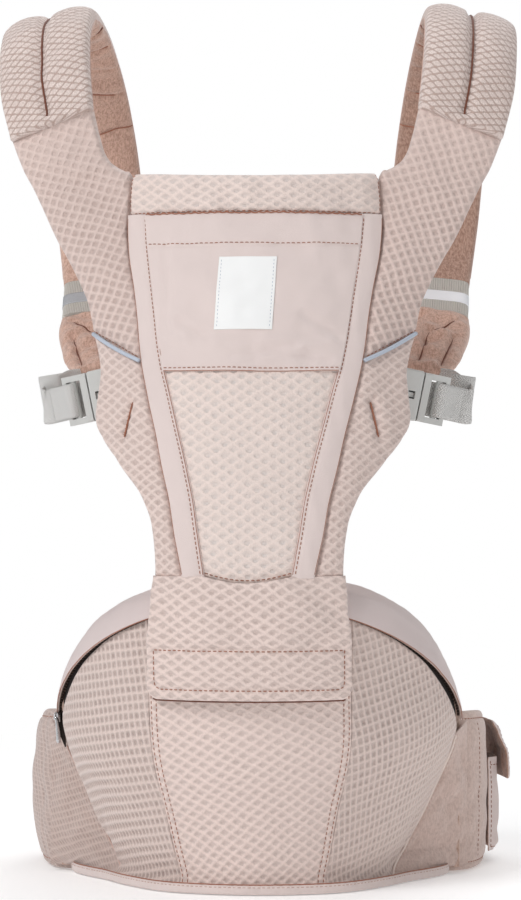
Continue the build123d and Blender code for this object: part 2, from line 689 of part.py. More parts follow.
# ---------------------------------------------------------------- side-release buckles
class Buckle:
    """Female body, tongue with ladder bars, and its two sprung prongs, in a frame with
    +X the way the tongue leaves, Z the width and Y the thickness; the mouth is at x=0."""

    FACE_WALL, SIDE_WALL = 1.8, 2.4
    PRONG_WIDTH = 3.4

    def __init__(self, webbing, thickness, slack):
        self.webbing = webbing
        self.thickness = thickness
        self.width = webbing + 11.0
        self.length = webbing * 0.85 + 6.0
        self.cavity = webbing * 0.62 + 2.0
        self.cavity_t = thickness - 2 * self.FACE_WALL
        self.prong_t = self.cavity_t - 2 * slack   # slack is left on each face
        self.prong_z = self.width / 2 - self.SIDE_WALL - 0.4 - self.PRONG_WIDTH / 2

    def body(self):
        width, thick, length, cavity = self.width, self.thickness, self.length, self.cavity
        body = box_at((-length / 2, 0, 0), (length, thick, width))
        body = fillet(body.edges().filter_by(Axis.X), min(2.0, thick * 0.2))
        body = fillet(body.edges().filter_by(Axis.Y), 2.5)
        body -= box_at((-cavity / 2, 0, 0),
                       (cavity + 0.001, self.cavity_t, width - 2 * self.SIDE_WALL))
        # windows through both sides, beside the prongs
        body -= box_at((-cavity * 0.56, 0, 0), (cavity * 0.42, self.cavity_t, width + 4))
        # window in the -Y face
        body -= box_at((-cavity * 0.45, -thick / 2, 0), (cavity * 0.3, 6, self.webbing * 0.22))
        # webbing slot
        body -= box_at((-length + 4.6, 0, 0), (3.4, thick + 4, self.webbing + 0.8))
        return body

    def tongue(self):
        width, thick, cavity = self.width, self.thickness, self.cavity
        ladder_x, ladder = 5.4, self.webbing * 0.62   # start and length of the ladder frame
        bar_t = thick * 0.45
        frame_t = bar_t + 1.2
        tongue = box_at((3.0, 0, 0), (5.2, thick - 1.0, width - 1.0))
        tongue = fillet(tongue.edges().filter_by(Axis.X), min(1.6, thick * 0.18))
        # centre guide inside the body
        tongue += box_at((-cavity * 0.36, 0, 0), (cavity * 0.72 + 1.2, self.prong_t, 3.4))
        for side in (-1, 1):
            tongue += box_at((ladder_x + ladder / 2, 0, side * (width / 2 - 2.6)),
                             (ladder, frame_t, 4.2))
        # round middle bar and square end bar
        tongue += Location((ladder_x + ladder * 0.52, 0, 0)) * Cylinder(bar_t * 0.5, width - 8)
        tongue += box_at((ladder_x + ladder - 1.6, 0, 0), (3.2, frame_t, width - 8))
        return tongue

    def prong(self, side):
        reach = self.cavity - 1.2
        prong = box_at((-reach / 2 + 0.15, 0, side * self.prong_z),
                       (reach - 0.3, self.prong_t, self.PRONG_WIDTH))
        return fillet(prong.edges().filter_by(Axis.Y), 1.0)

    def pieces(self):
        """Name ending and shape of each piece."""
        return [("buckle_body", self.body()), ("buckle_tongue", self.tongue()),
                ("prong_upper", self.prong(1)), ("prong_lower", self.prong(-1))]


waist_buckle = Buckle(WEB_WAIST, 12.0, slack=1.75)
chest_buckle = Buckle(WEB_CHEST, 8.0, slack=0.35)
side_buckle = Buckle(WEB_STRAP, 9.5, slack=0.35)

for piece, shape in waist_buckle.pieces():
    save("waist_" + piece, Location((0, WAIST_Y, WAIST_Z)) * shape)
for piece, shape in chest_buckle.pieces():
    save("chest_" + piece, Location((0, CHEST_Y, CHEST_Z)) * shape)

# frame of the right side buckle
side_mouth = np.array([116.0, -29.0, BUCKLE_Z])
side_along = unit(np.array([0.88, 0.40, -0.18]))
side_up = across(np.array([0.18, 0, 0.98]), side_along)
side_inward = np.cross(side_up, side_along)   # towards the wearer
side_location = Plane(origin=tuple(side_mouth), x_dir=tuple(side_along),
                      z_dir=tuple(side_up)).location

for piece, shape in side_buckle.pieces():
    right = side_location * shape
    save_pair("side_" + piece, (right, mirror(right, about=Plane.YZ)))

# Strap webbing: straight behind the ladder bars, then folded back to the strap end.
WEB_STRAIGHT = (8, 20, 32, 42)   # distances from the mouth, along the buckle
WEB_FOLD = [(153.5, -3, 340.5), (151, 14, 345), (145, 30, 352), (139, 42, 358.5),
            (130.5, 49.6, 362.5)]
WEB_HALF_WIDTHS = [WEB_STRAP / 2] * 6 + [12.0, 8.5, 5.5]   # one for each station


def strap_web_grids():
    start = side_mouth + side_inward * 6.8
    line = np.array([start + side_along * s for s in WEB_STRAIGHT] + WEB_FOLD)
    ups = ([side_up] * 4 + [np.array([0.12, 0, 0.99])] * 2 + [np.array([0.05, 0, 1.0])] * 3)
    front, back = [], []
    for centre, tangent, up, half in zip(line, np.gradient(line, axis=0), ups,
                                         WEB_HALF_WIDTHS):
        along = unit(tangent)
        up = across(up, along)
        offset = np.cross(along, up) * WEB_T / 2
        front.append([centre + up * half * s + offset for s in (-1, 1)])
        back.append([centre + up * half * s - offset for s in (-1, 1)])
    return front, back


save("strap_webbing", Compound(both_sides(sheet, *strap_web_grids())))


def buckle_tab_grids():
    """Short webbing that holds the female body to the wing."""
    tab_z = 352.0
    rear = side_mouth - side_along * (side_buckle.length + 1.0)
    points = np.array([(75.0, panel_y(75, tab_z) + 16.0, tab_z),
                       (82.0, panel_y(82, tab_z) + 16.5, tab_z), tuple(rear)])
    return [[[p + side_up * 12.0 * s + np.array([0, y, 0]) for s in (-1, 1)] for p in points]
            for y in (-WEB_T / 2, WEB_T / 2)]


save("buckle_tabs", Compound(both_sides(sheet, *buckle_tab_grids())))

# ---------------------------------------------------------------- chest strap
RAIL_X = 118                # rails on the shoulder straps, with the sliders on them
SLIDER_WIDTH = 18
CHEST_GAP = 0.6             # between webbing and slider or buckle body
chest_web_end = RAIL_X - SLIDER_WIDTH / 2 - CHEST_GAP


def chest_rail(side):
    return box_at((side * RAIL_X, 171.4, CHEST_Z), (10, 1.2, 96))


def chest_slider(side):
    slider = box_at((side * RAIL_X, 175.9, CHEST_Z), (SLIDER_WIDTH, 6.8, 26))
    return fillet(slider.edges().filter_by(Axis.Y), 3.0)


def chest_web(x0, x1, y):
    return box_at(((x0 + x1) / 2, y, CHEST_Z), (x1 - x0, CHEST_WEB_T, WEB_CHEST))


save("chest_rails", Compound([chest_rail(1), chest_rail(-1)]))
save("chest_sliders", Compound([chest_slider(1), chest_slider(-1)]))
save("chest_webbing", Compound([
    chest_web(12, chest_web_end, CHEST_Y + 5.3),
    chest_web(-chest_web_end, -chest_buckle.length - CHEST_GAP, CHEST_Y)]))
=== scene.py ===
# A soft baby carrier with a hip seat: body panel, head roll, shoulder straps, waistbelt and webbing.
# It stands on the floor at z = 0, with +Z up. The outer front faces -Y and the wearer's side +Y.
# Names say "right" for +X and "left" for -X. Lengths are in mm until a mesh is made.
# s and t run 0..1 over a surface; u and v are fabric coordinates in mm.
import bpy
import copy
import math
import numpy as np
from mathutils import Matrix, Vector


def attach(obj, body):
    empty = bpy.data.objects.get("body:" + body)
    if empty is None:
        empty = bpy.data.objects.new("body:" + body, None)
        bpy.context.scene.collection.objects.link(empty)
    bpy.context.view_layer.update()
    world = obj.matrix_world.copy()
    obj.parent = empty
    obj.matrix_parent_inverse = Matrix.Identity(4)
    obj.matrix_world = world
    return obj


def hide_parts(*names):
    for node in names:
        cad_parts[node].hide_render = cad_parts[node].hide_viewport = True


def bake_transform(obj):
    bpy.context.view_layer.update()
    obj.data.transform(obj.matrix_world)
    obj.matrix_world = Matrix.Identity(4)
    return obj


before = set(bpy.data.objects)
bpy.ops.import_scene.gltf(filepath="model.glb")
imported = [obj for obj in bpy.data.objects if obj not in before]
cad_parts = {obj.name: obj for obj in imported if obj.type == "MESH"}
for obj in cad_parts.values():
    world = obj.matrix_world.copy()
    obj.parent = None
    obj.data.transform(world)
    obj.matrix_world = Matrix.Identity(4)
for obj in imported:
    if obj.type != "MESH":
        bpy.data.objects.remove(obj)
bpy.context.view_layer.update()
MM = 0.001
RES = 1.0     # grid spacing of the fine fabric surfaces, in mm
TURN = 2 * math.pi
MIRROR = np.array([-1, 1, 1.0])
SIDES = (("right", False), ("left", True))


# ------------------------------------------------------------------ maths helpers
def wavy(u, v, wavelength, seed):
    """Gentle random unevenness: eight sine waves in random directions."""
    waves = 8
    rng = np.random.RandomState(seed)
    total = np.zeros(np.broadcast(u, v).shape)
    for _ in range(waves):
        heading = rng.uniform(0, 2 * np.pi)
        pace = 2 * np.pi / (wavelength * rng.uniform(0.6, 1.7))
        phase = rng.uniform(0, 2 * np.pi)
        total = total + np.sin((u * np.cos(heading) + v * np.sin(heading)) * pace + phase)
    return total / np.sqrt(waves)


def ease(low, high, x):
    """Smooth step from 0 at low to 1 at high."""
    f = np.clip((x - low) / (high - low), 0, 1)
    return f * f * (3 - 2 * f)


def bell(distance, width):
    return np.exp(-(distance / width) ** 2)


def puff(distance, radius):
    """Padding that rises from 0 at an edge towards 1."""
    return 1 - np.exp(-distance / radius)


def profile(rows, blur):
    """Function of z through (z, value) rows, averaged over z - blur .. z + blur."""
    rows = np.array(rows, float)

    def value(z):
        z = np.asarray(z, float)
        shifts = (-blur, -blur / 2, 0, blur / 2, blur)
        return sum(np.interp(z + shift, rows[:, 0], rows[:, 1]) for shift in shifts) / 5
    return value


def lengths(points):
    """Running length along a polyline."""
    return np.r_[0, np.cumsum(np.linalg.norm(np.diff(points, axis=0), axis=1))]


def interp_rows(x, at, rows):
    return np.stack([np.interp(x, at, rows[:, axis]) for axis in range(3)], -1)


def spline(points, fraction):
    """Catmull-Rom through points, at 0..1 of the chord length."""
    points = np.asarray(points, float)
    at = lengths(points)
    x = np.clip(np.asarray(fraction, float), 0, 1) * at[-1]
    slope = np.zeros_like(points)
    for i in range(len(points)):
        a, b = max(i - 1, 0), min(i + 1, len(points) - 1)
        slope[i] = (points[b] - points[a]) / (at[b] - at[a])
    i = np.clip(np.searchsorted(at, x) - 1, 0, len(points) - 2)
    gap = (at[i + 1] - at[i])[..., None]
    f = ((x - at[i]) / (at[i + 1] - at[i]))[..., None]
    return (points[i] * (2 * f**3 - 3 * f**2 + 1) + slope[i] * gap * (f**3 - 2 * f**2 + f)
            + points[i + 1] * (-2 * f**3 + 3 * f**2) + slope[i + 1] * gap * (f**3 - f**2))


def on_floor(points):
    return [(x, y, 0) for x, y in points]


def smoothed(points, passes):
    for _ in range(passes):
        points[1:-1] = (points[:-2] + 2 * points[1:-1] + points[2:]) / 4
    return points


def unit(vectors):
    return vectors / np.maximum(np.linalg.norm(vectors, axis=-1, keepdims=True), 1e-9)


def xyz(x, y, z):
    return np.stack(np.broadcast_arrays(x, y, z), -1)


def signed_power(x, exponent):
    return np.sign(x) * np.abs(x) ** exponent


def superellipse(angle, exponent_x, exponent_y):
    return signed_power(np.cos(angle), exponent_x), signed_power(np.sin(angle), exponent_y)


def triangle(x):
    return np.abs((x % 1.0) - 0.5) * 2


def side_scale(mirrored):
    return MIRROR if mirrored else np.ones(3)


def line_distance(x, y, line):
    """Distance from grid points to a polyline in the plane."""
    best = np.full(x.shape, 1e9)
    for (x0, y0), (x1, y1) in zip(line[:-1], line[1:]):
        dx, dy = x1 - x0, y1 - y0
        f = np.clip(((x - x0) * dx + (y - y0) * dy) / max(dx * dx + dy * dy, 1e-9), 0, 1)
        best = np.minimum(best, np.hypot(x - x0 - f * dx, y - y0 - f * dy))
    return best


def creased(height, x, y, lines, mask=1.0):
    """Press soft grooves into height. Each line is x0, y0, x1, y1, depth, width."""
    for x0, y0, x1, y1, depth, width in lines:
        distance = line_distance(x, y, [(x0, y0), (x1, y1)])
        height = height - depth * bell(distance, width) * mask
    return height


# Knitted lattices: two families of lines (waves per mm along u and v), corner rounding,
# and the levels between which a cell turns into a rib.
LATTICES = {
    "center": ((1 / 11.5, 1 / 8.2), (1 / 11.5, -1 / 8.2), 1.7, 0.22, 0.70),
    "rhomb": ((1 / 11.7, 1 / 7.8), (1 / 11.7, -1 / 7.8), 1.8, 0.16, 0.66),
    "head": ((1 / 11.2, 1 / 7.2), (1 / 11.2, -1 / 7.2), 1.7, 0.22, 0.70),
    "front": ((0.096, -0.1228), (0.0690, 0.1390), 2.3, 0.20, 0.70),
    "square": ((1 / 5.3, 0.0), (0.0, 1 / 6.2), 3.0, 0.34, 0.74),
    "yoke": ((1 / 5.7, 0.02), (0.0, 1 / 5.9), 2.8, 0.30, 0.74),
    "wing": ((1 / 8.8, 1 / 7.4), (1 / 8.8, -1 / 7.4), 2.0, 0.18, 0.68),
    "strap": ((-0.083, 0.200), (-0.120, -0.182), 4.0, 0.62, 1.0),
    "belt": ((1 / 3.3, 0.03), (0.05, 1 / 4.3), 2.2, 0.36, 0.95),
}


def relief(lattice, u, v, ridge=0.35):
    """Height 0..1: low in the cells, high on the ribs, with a thin ridge on one family."""
    (au, av), (bu, bv), power, low, high = LATTICES[lattice]
    wave_a, wave_b = triangle(au * u + av * v), triangle(bu * u + bv * v)
    rib = (wave_a**power + wave_b**power) ** (1 / power)
    return ease(low, high, rib) * (1 - ridge) + ridge * ease(0.55, 1.0, wave_a)


# ------------------------------------------------------------------ mesh building
MATERIALS = {}


def add_mesh(name, verts, faces, uv=None, materials=(), slots=None, smooth=True):
    mesh = bpy.data.meshes.new(name)
    faces = faces if isinstance(faces, list) else faces.tolist()
    mesh.from_pydata((np.asarray(verts, float) * MM).tolist(), [], faces)
    mesh.polygons.foreach_set("use_smooth", [smooth] * len(mesh.polygons))
    if uv is not None:
        layer = mesh.uv_layers.new(name="UVMap")
        corners = np.zeros(len(mesh.loops), np.int32)
        mesh.loops.foreach_get("vertex_index", corners)
        layer.data.foreach_set("uv", np.asarray(uv, np.float32)[corners].ravel())
    for material in materials:
        mesh.materials.append(MATERIALS[material])
    if slots is not None:
        mesh.polygons.foreach_set("material_index", np.asarray(slots, np.int32))
    mesh.validate()
    mesh.update()
    obj = bpy.data.objects.new(name, mesh)
    bpy.context.scene.collection.objects.link(obj)
    return obj


def fit(obj, body, slot, *replaced):
    if replaced:
        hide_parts(*replaced)
    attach(obj, body)


def add_bevel(obj, width, segments):
    bevel = obj.modifiers.new("edges", "BEVEL")
    bevel.width, bevel.segments = width * MM, segments
    return bevel


def ring_quads(rings):
    """Quads between successive closed rings of vertex indices."""
    turned = np.roll(rings, -1, 1)
    return np.stack([rings[:-1], turned[:-1], turned[1:], rings[1:]], -1).reshape(-1, 4)


def loft_faces(rows, sides, turned=False):
    """Faces of a capped tube of rings; turned reverses them."""
    rings = np.arange(rows * sides).reshape(rows, sides)
    quads = ring_quads(rings)
    if turned:
        return quads[:, [0, 3, 2, 1]].tolist() + [rings[0].tolist(), rings[-1, ::-1].tolist()]
    return quads.tolist() + [rings[0, ::-1].tolist(), rings[-1].tolist()]


def add_loft(name, verts, u, v, material, turned=False):
    shape = verts.shape[:2]
    uv = np.stack([np.broadcast_to(u, shape), np.broadcast_to(v, shape)], -1).reshape(-1, 2)
    return add_mesh(name, verts.reshape(-1, 3), loft_faces(*shape, turned), uv, (material,))


def edged(count, length, edge):
    """count parameters in 0..1, with extra ones in the rounded edge at both ends."""
    even = np.linspace(0, 1, count)
    extra = np.array([0.0, 0.03, 0.12, 0.3, 0.6, 1.0]) * edge / length
    middle = even[(even > extra[-1] * 1.05) & (even < 1 - extra[-1] * 1.05)]
    return np.concatenate([extra, middle, (1 - extra)[::-1]])


class Sheet:
    """A closed padded sheet over surface(s, t), about length_s by length_t mm.

    from_s0, from_s1, from_t0 and from_t1 are distances along the surface from each edge and
    rim is the nearest. narrow_s and narrow_t make the edge rounding narrower at each edge.
    """

    def __init__(self, surface, length_s, length_t, flip=False, edge=2.0, res=1.0, uv=None,
                 mirror=False, narrow_s=(1.0, 1.0), narrow_t=(1.0, 1.0)):
        res = res * RES
        s = edged(max(int(length_s / res), 4), length_s, edge)
        t = edged(max(int(length_t / res), 4), length_t, edge)
        self.s, self.t = np.meshgrid(s, t)
        points = surface(self.s, self.t)
        if mirror:
            points = points * MIRROR
            flip = not flip
        self.points, self.flip, self.edge = points, flip, edge
        normals = unit(np.cross(np.gradient(points, axis=1), np.gradient(points, axis=0)))
        self.normals = -normals if flip else normals
        step_s = np.linalg.norm(np.diff(points, axis=1), axis=2)
        step_t = np.linalg.norm(np.diff(points, axis=0), axis=2)
        rows, cols = self.s.shape
        self.from_s0 = np.concatenate([np.zeros((rows, 1)), np.cumsum(step_s, 1)], 1)
        self.from_t0 = np.concatenate([np.zeros((1, cols)), np.cumsum(step_t, 0)], 0)
        self.from_s1 = self.from_s0[:, -1:] - self.from_s0
        self.from_t1 = self.from_t0[-1:] - self.from_t0
        self.rim = self.nearest((1.0, 1.0), (1.0, 1.0))
        self.rounding_rim = self.nearest(narrow_s, narrow_t)
        if uv is None:
            self.u, self.v = self.from_s0 - self.from_s0[:, -1:] / 2, self.from_t0
        else:
            self.u, self.v = uv(self)
        self.height = np.zeros(self.s.shape)

    @property
    def x(self):
        return self.points[..., 0]

    @property
    def z(self):
        return self.points[..., 2]

    def nearest(self, scale_s, scale_t):
        return np.minimum(
            np.minimum(self.from_s0 * scale_s[0], self.from_s1 * scale_s[1]),
            np.minimum(self.from_t0 * scale_t[0], self.from_t1 * scale_t[1]))

    def drift(self, amount, wavelength, seed):
        """Knitted rows are never quite straight: let the lattice wander a little."""
        u, v = self.u, self.v
        self.u = u + amount * wavy(u, v, wavelength, seed)
        self.v = v + amount * wavy(u, v, wavelength, seed + 1)

    def rotate_uv(self, u, v, degrees):
        cos, sin = math.cos(math.radians(degrees)), math.sin(math.radians(degrees))
        self.u, self.v = u * cos + v * sin, -u * sin + v * cos

    def crease(self, x, y, lines, mask=1.0):
        self.height = creased(self.height, x, y, lines, mask)

    def build(self, name, thick, material, back_material=None):
        edge = min(self.edge, thick * 0.49)
        inset = np.clip(edge - self.rounding_rim, 0, edge)
        rounding = -(edge - np.sqrt(np.maximum(edge * edge - inset * inset, 0)))
        self.front = self.points + self.normals * (self.height + rounding)[..., None]
        depth = np.minimum(self.height, 0) - thick - rounding
        back = self.points + self.normals * depth[..., None]
        grid = np.arange(self.s.size).reshape(self.s.shape)
        quads = np.stack([grid[:-1, :-1], grid[:-1, 1:], grid[1:, 1:], grid[1:, :-1]], -1)
        quads = quads.reshape(-1, 4)
        border = np.concatenate([grid[0, :], grid[1:, -1], grid[-1, -2::-1], grid[-2:0:-1, 0]])
        after = np.roll(border, -1)
        wall = np.stack([border, border + grid.size, after + grid.size, after], -1)
        faces = np.concatenate([quads, quads[:, ::-1] + grid.size, wall])
        if self.flip:
            faces = faces[:, ::-1]
        uv = np.stack([self.u, self.v], -1).reshape(-1, 2)
        materials, slots = (material,), None
        if back_material:
            materials = (material, back_material)
            slots = np.zeros(len(faces), int)
            slots[len(quads):2 * len(quads)] = 1
        verts = np.concatenate([self.front.reshape(-1, 3), back.reshape(-1, 3)])
        return add_mesh(name, verts, faces, np.concatenate([uv, uv]), materials, slots)

    def at(self, s, t, lift=0.0):
        """Points and normals on the finished front at parameters s, t."""
        s, t = np.broadcast_arrays(s, t)
        cols, rows = self.s[0], self.t[:, 0]
        i = np.clip(np.searchsorted(cols, s) - 1, 0, len(cols) - 2)
        j = np.clip(np.searchsorted(rows, t) - 1, 0, len(rows) - 2)
        a = ((s - cols[i]) / (cols[i + 1] - cols[i]))[:, None]
        b = ((t - rows[j]) / (rows[j + 1] - rows[j]))[:, None]
        grid = self.front
        points = (grid[j, i] * (1 - a) * (1 - b) + grid[j, i + 1] * a * (1 - b)
                  + grid[j + 1, i] * (1 - a) * b + grid[j + 1, i + 1] * a * b)
        normals = unit(self.normals[j, i])
        return points + normals * lift, normals

    def along_t(self, inset, span, lift=0.0):
        """Line at a distance from the s = 0 edge (negative: s = 1); span is t0, t1, count."""
        t = np.linspace(*span)
        s = []
        for value in t:
            row = self.from_s0[int(np.argmin(abs(self.t[:, 0] - value)))]
            s.append(np.interp(inset if inset >= 0 else row[-1] + inset, row, self.s[0]))
        return self.at(np.array(s), t, lift)

    def along_s(self, inset, span, lift=0.0):
        """Line at a distance from the t = 0 edge (negative: t = 1); span is s0, s1, count."""
        s = np.linspace(*span)
        t = []
        for value in s:
            col = self.from_t0[:, int(np.argmin(abs(self.s[0] - value)))]
            t.append(np.interp(inset if inset >= 0 else col[-1] + inset, col, self.t[:, 0]))
        return self.at(s, np.array(t), lift)


def flat_uv(sheet):
    return sheet.x, sheet.z * 1.05


# ------------------------------------------------------------------ stitches and cords
STITCHES = {}
STITCH_FACES = loft_faces(4, 6, turned=True)


def stitch(body, path, length=2.5, gap=1.1, radius=0.34, material="thread"):
    """Queue stitches along (points, normals); they are joined per body and material later."""
    verts, faces = STITCHES.setdefault((body, material), ([], []))
    points, normals = path
    at = lengths(points)
    count = int((at[-1] - length) // (length + gap)) + 1
    if count < 1:
        return
    pitch = (at[-1] - 0.2) / count
    angle = 2 * np.pi * np.arange(6) / 6
    radii = radius * np.array([0.75, 1.0, 1.0, 0.75])[:, None]
    lift = np.array([-0.9, 0.35, 0.35, -0.9])[:, None] * radius
    for i in range(count):
        middle = pitch * (i + 0.5)
        stops = np.array([middle - length / 2, middle - length * 0.3,
                          middle + length * 0.3, middle + length / 2])
        core = interp_rows(stops, at, points)
        normal = unit(interp_rows(middle, at, normals))
        side = np.cross(unit(core[3] - core[0]), normal)
        base = 24 * len(verts)
        rings = (core[:, None] + normal * (lift + radii * 0.8 * np.sin(angle))[..., None]
                 + side * (radii * np.cos(angle))[..., None])
        verts.append(rings.reshape(-1, 3))
        faces.extend([base + corner for corner in face] for face in STITCH_FACES)


def build_stitches():
    for (body, material), (verts, faces) in STITCHES.items():
        if verts:
            name = "stitching_%s_%s" % (body, material)
            obj = add_mesh(name, np.concatenate(verts), faces, None, (material,))
            fit(obj, body, "smooth_fabric")


def cord(name, points, radius, body, material="thread", slot="smooth_fabric", sides=6,
         replaced=(), up=None, flat=1.0):
    """A round cord; flat scales its thickness towards up."""
    points = np.asarray(points, float)
    radius = np.broadcast_to(radius, len(points))
    tangent = unit(np.gradient(points, axis=0))
    if up is None:
        level = abs(tangent[:, 2]).mean() < 0.8
        up = np.array([0, 0, 1.0]) if level else np.array([0, 1.0, 0])
    up = unit(up - tangent * (up * tangent).sum(-1, keepdims=True))
    side = np.cross(tangent, up)
    angle = np.arange(sides) * 2 * np.pi / sides
    ring = (up[:, None] * np.cos(angle)[None, :, None] * flat
            + side[:, None] * np.sin(angle)[None, :, None])
    verts = points[:, None] + ring * radius[:, None, None]
    obj = add_loft(name, verts, angle * radius.mean(), lengths(points)[:, None], material)
    fit(obj, body, slot, *replaced)


class Tube:
    """Closed tube along a ribbon between two edge lines.

    Its sections are offsets x (towards the second edge) and y (outwards), one row per station.
    """

    def __init__(self, first_edge, second_edge, stations, sides):
        fraction = np.linspace(0, 1, stations)
        first, second = spline(first_edge, fraction), spline(second_edge, fraction)
        self.centre = (first + second) / 2
        self.width = np.linalg.norm(second - first, axis=1)
        self.across = unit(second - first)
        self.along = unit(np.gradient(self.centre, axis=0))
        self.normal = unit(np.cross(self.across, self.along))
        self.length = lengths(self.centre)
        self.angle = (np.arange(sides) + 0.5) * 2 * np.pi / sides

    def lengths_like(self, x):
        return np.broadcast_to(self.length[:, None], x.shape)

    def pick(self, rows, cols, x, y, lift=0.0):
        """Points of the tube's skin at station rows and section columns."""
        return (self.centre[rows] + self.across[rows] * x[rows, cols][:, None]
                + self.normal[rows] * (y[rows, cols] + lift)[:, None])

    def build(self, name, x, y, materials, outer=None, mirror=False, close=1.0):
        """outer marks the columns that take the first material; close scales the end domes."""
        scale = side_scale(mirror)
        verts = (self.centre[:, None] + self.across[:, None] * x[..., None]
                 + self.normal[:, None] * y[..., None]) * scale
        stations, sides = x.shape
        rings = np.arange(stations * sides).reshape(stations, sides)
        along = self.lengths_like(x)
        all_verts, uv = [verts.reshape(-1, 3)], [np.stack([x, along], -1).reshape(-1, 2)]
        quads, fans = [ring_quads(rings)], []
        base = stations * sides
        for end, sign in ((0, -1), (stations - 1, 1)):
            last = rings[end]
            centre = verts[end].mean(0)
            outward = self.along[end] * scale * sign
            for shrink, out in ((0.93, 1.2), (0.78, 2.2), (0.5, 2.9), (0.2, 3.1)):
                out = out * close
                all_verts.append(centre + (verts[end] - centre) * shrink + outward * out)
                uv.append(np.stack([x[end], along[end] + sign * out], -1))
                ring = np.arange(base, base + sides)
                base += sides
                cap = ring_quads(np.stack([last, ring]))
                quads.append(cap[:, ::-1] if sign < 0 else cap)
                last = ring
            all_verts.append((centre + outward * 3.15 * close)[None])
            uv.append(np.array([[0, along[end, 0]]]))
            for a, b in zip(last.tolist(), np.roll(last, -1).tolist()):
                fans.append([base, b, a] if (sign < 0) == mirror else [a, b, base])
            base += 1
        quads = np.concatenate(quads)
        if not mirror:
            quads = quads[:, ::-1]
        # one row of slots per band of faces: the body, four cap rings and a fan at each end
        slots = None if outer is None else np.tile(np.where(outer, 0, 1), stations + 9)
        return add_mesh(name, np.concatenate(all_verts), quads.tolist() + fans,
                        np.concatenate(uv), materials, slots)


# ------------------------------------------------------------------ materials
def srgb(red, green, blue):
    """Linear colour from 0..255 sRGB values."""
    def linear(c):
        return c / 12.92 if c <= 0.04045 else ((c + 0.055) / 1.055) ** 2.4
    return tuple(linear(value / 255.0) for value in (red, green, blue)) + (1.0,)


def tint(colour, factor):
    return tuple(min(1.0, value * factor) for value in colour[:3]) + (1.0,)


def math_operator(operation, swapped=False):
    def apply(self, other):
        pair = (other, self) if swapped else (self, other)
        return self.shader.math(operation, *pair)
    return apply


class Field:
    """A shader output; arithmetic on it adds math nodes."""

    def __init__(self, shader, socket):
        self.shader, self.socket = shader, socket

    __add__ = math_operator("ADD")
    __sub__ = math_operator("SUBTRACT")
    __rsub__ = math_operator("SUBTRACT", swapped=True)
    __mul__ = math_operator("MULTIPLY")
    __truediv__ = math_operator("DIVIDE")
    __pow__ = math_operator("POWER")


class Shader:
    """A new Principled material and the nodes its patterns are built from."""

    def __init__(self, name, rough, sheen):
        material = bpy.data.materials.new(name)
        material.use_nodes = True
        self.tree = material.node_tree
        self.tree.nodes.clear()
        output = self.node("ShaderNodeOutputMaterial")
        self.surface = self.node("ShaderNodeBsdfPrincipled")
        self.tree.links.new(self.surface.outputs[0], output.inputs[0])
        for key, value in (("Roughness", rough), ("Sheen Weight", sheen),
                           ("Sheen Roughness", 0.5), ("Specular IOR Level", 0.25)):
            self.put(key, value)
        MATERIALS[name] = material

    def node(self, kind, **settings):
        node = self.tree.nodes.new(kind)
        for key, value in settings.items():
            setattr(node, key, value)
        return node

    def fill(self, socket, value):
        if isinstance(value, Field):
            self.tree.links.new(value.socket, socket)
        else:
            socket.default_value = value

    def put(self, key, value):
        self.fill(self.surface.inputs[key], value)

    def math(self, operation, *values):
        node = self.node("ShaderNodeMath", operation=operation)
        for i, value in enumerate(values):
            self.fill(node.inputs[i], value)
        return Field(self, node.outputs[0])

    def highest(self, a, b):
        return self.math("MAXIMUM", a, b)

    def wave(self, value, period):
        return self.math("SINE", value * (TURN / period))

    def triangle(self, value):
        return self.math("ABSOLUTE", self.math("FRACT", value) - 0.5) * 2.0

    def step(self, value, low, high):
        node = self.node("ShaderNodeMapRange", interpolation_type="SMOOTHSTEP")
        for i, setting in enumerate((value, low, high, 0.0, 1.0)):
            self.fill(node.inputs[i], setting)
        return Field(self, node.outputs[0])

    def mix(self, amount, first, second):
        node = self.node("ShaderNodeMix", data_type="RGBA")
        for i, setting in ((0, amount), (6, first), (7, second)):
            self.fill(node.inputs[i], setting)
        return Field(self, node.outputs[2])

    def separate(self, vector):
        node = self.node("ShaderNodeSeparateXYZ")
        self.fill(node.inputs[0], vector)
        return [Field(self, output) for output in node.outputs]

    def uv(self):
        layer = self.node("ShaderNodeUVMap", uv_map="UVMap")
        return self.separate(Field(self, layer.outputs[0]))[:2]

    def place(self):
        """Object coordinates in mm."""
        coords = self.node("ShaderNodeTexCoord")
        node = self.node("ShaderNodeVectorMath", operation="SCALE")
        self.tree.links.new(coords.outputs["Object"], node.inputs[0])
        node.inputs["Scale"].default_value = 1000.0
        return Field(self, node.outputs[0])

    def stretch(self, vector, factors):
        node = self.node("ShaderNodeVectorMath", operation="MULTIPLY")
        self.fill(node.inputs[0], vector)
        node.inputs[1].default_value = factors
        return Field(self, node.outputs[0])

    def texture(self, kind, output, vector, **settings):
        node = self.node(kind)
        self.fill(node.inputs["Vector"], vector)
        for key, value in settings.items():
            node.inputs[key].default_value = value
        return Field(self, node.outputs[output])

    def noise(self, vector, scale, detail=2.0, rough=0.5):
        return self.texture("ShaderNodeTexNoise", "Fac", vector,
                            Scale=scale, Detail=detail, Roughness=rough)

    def finish(self, colour, height, bump, strength):
        """Set the colour and a bump of so many mm."""
        self.put("Base Color", colour)
        node = self.node("ShaderNodeBump")
        node.inputs["Distance"].default_value = bump * MM
        node.inputs["Strength"].default_value = strength
        self.fill(node.inputs["Height"], height)
        self.put("Normal", Field(self, node.outputs[0]))


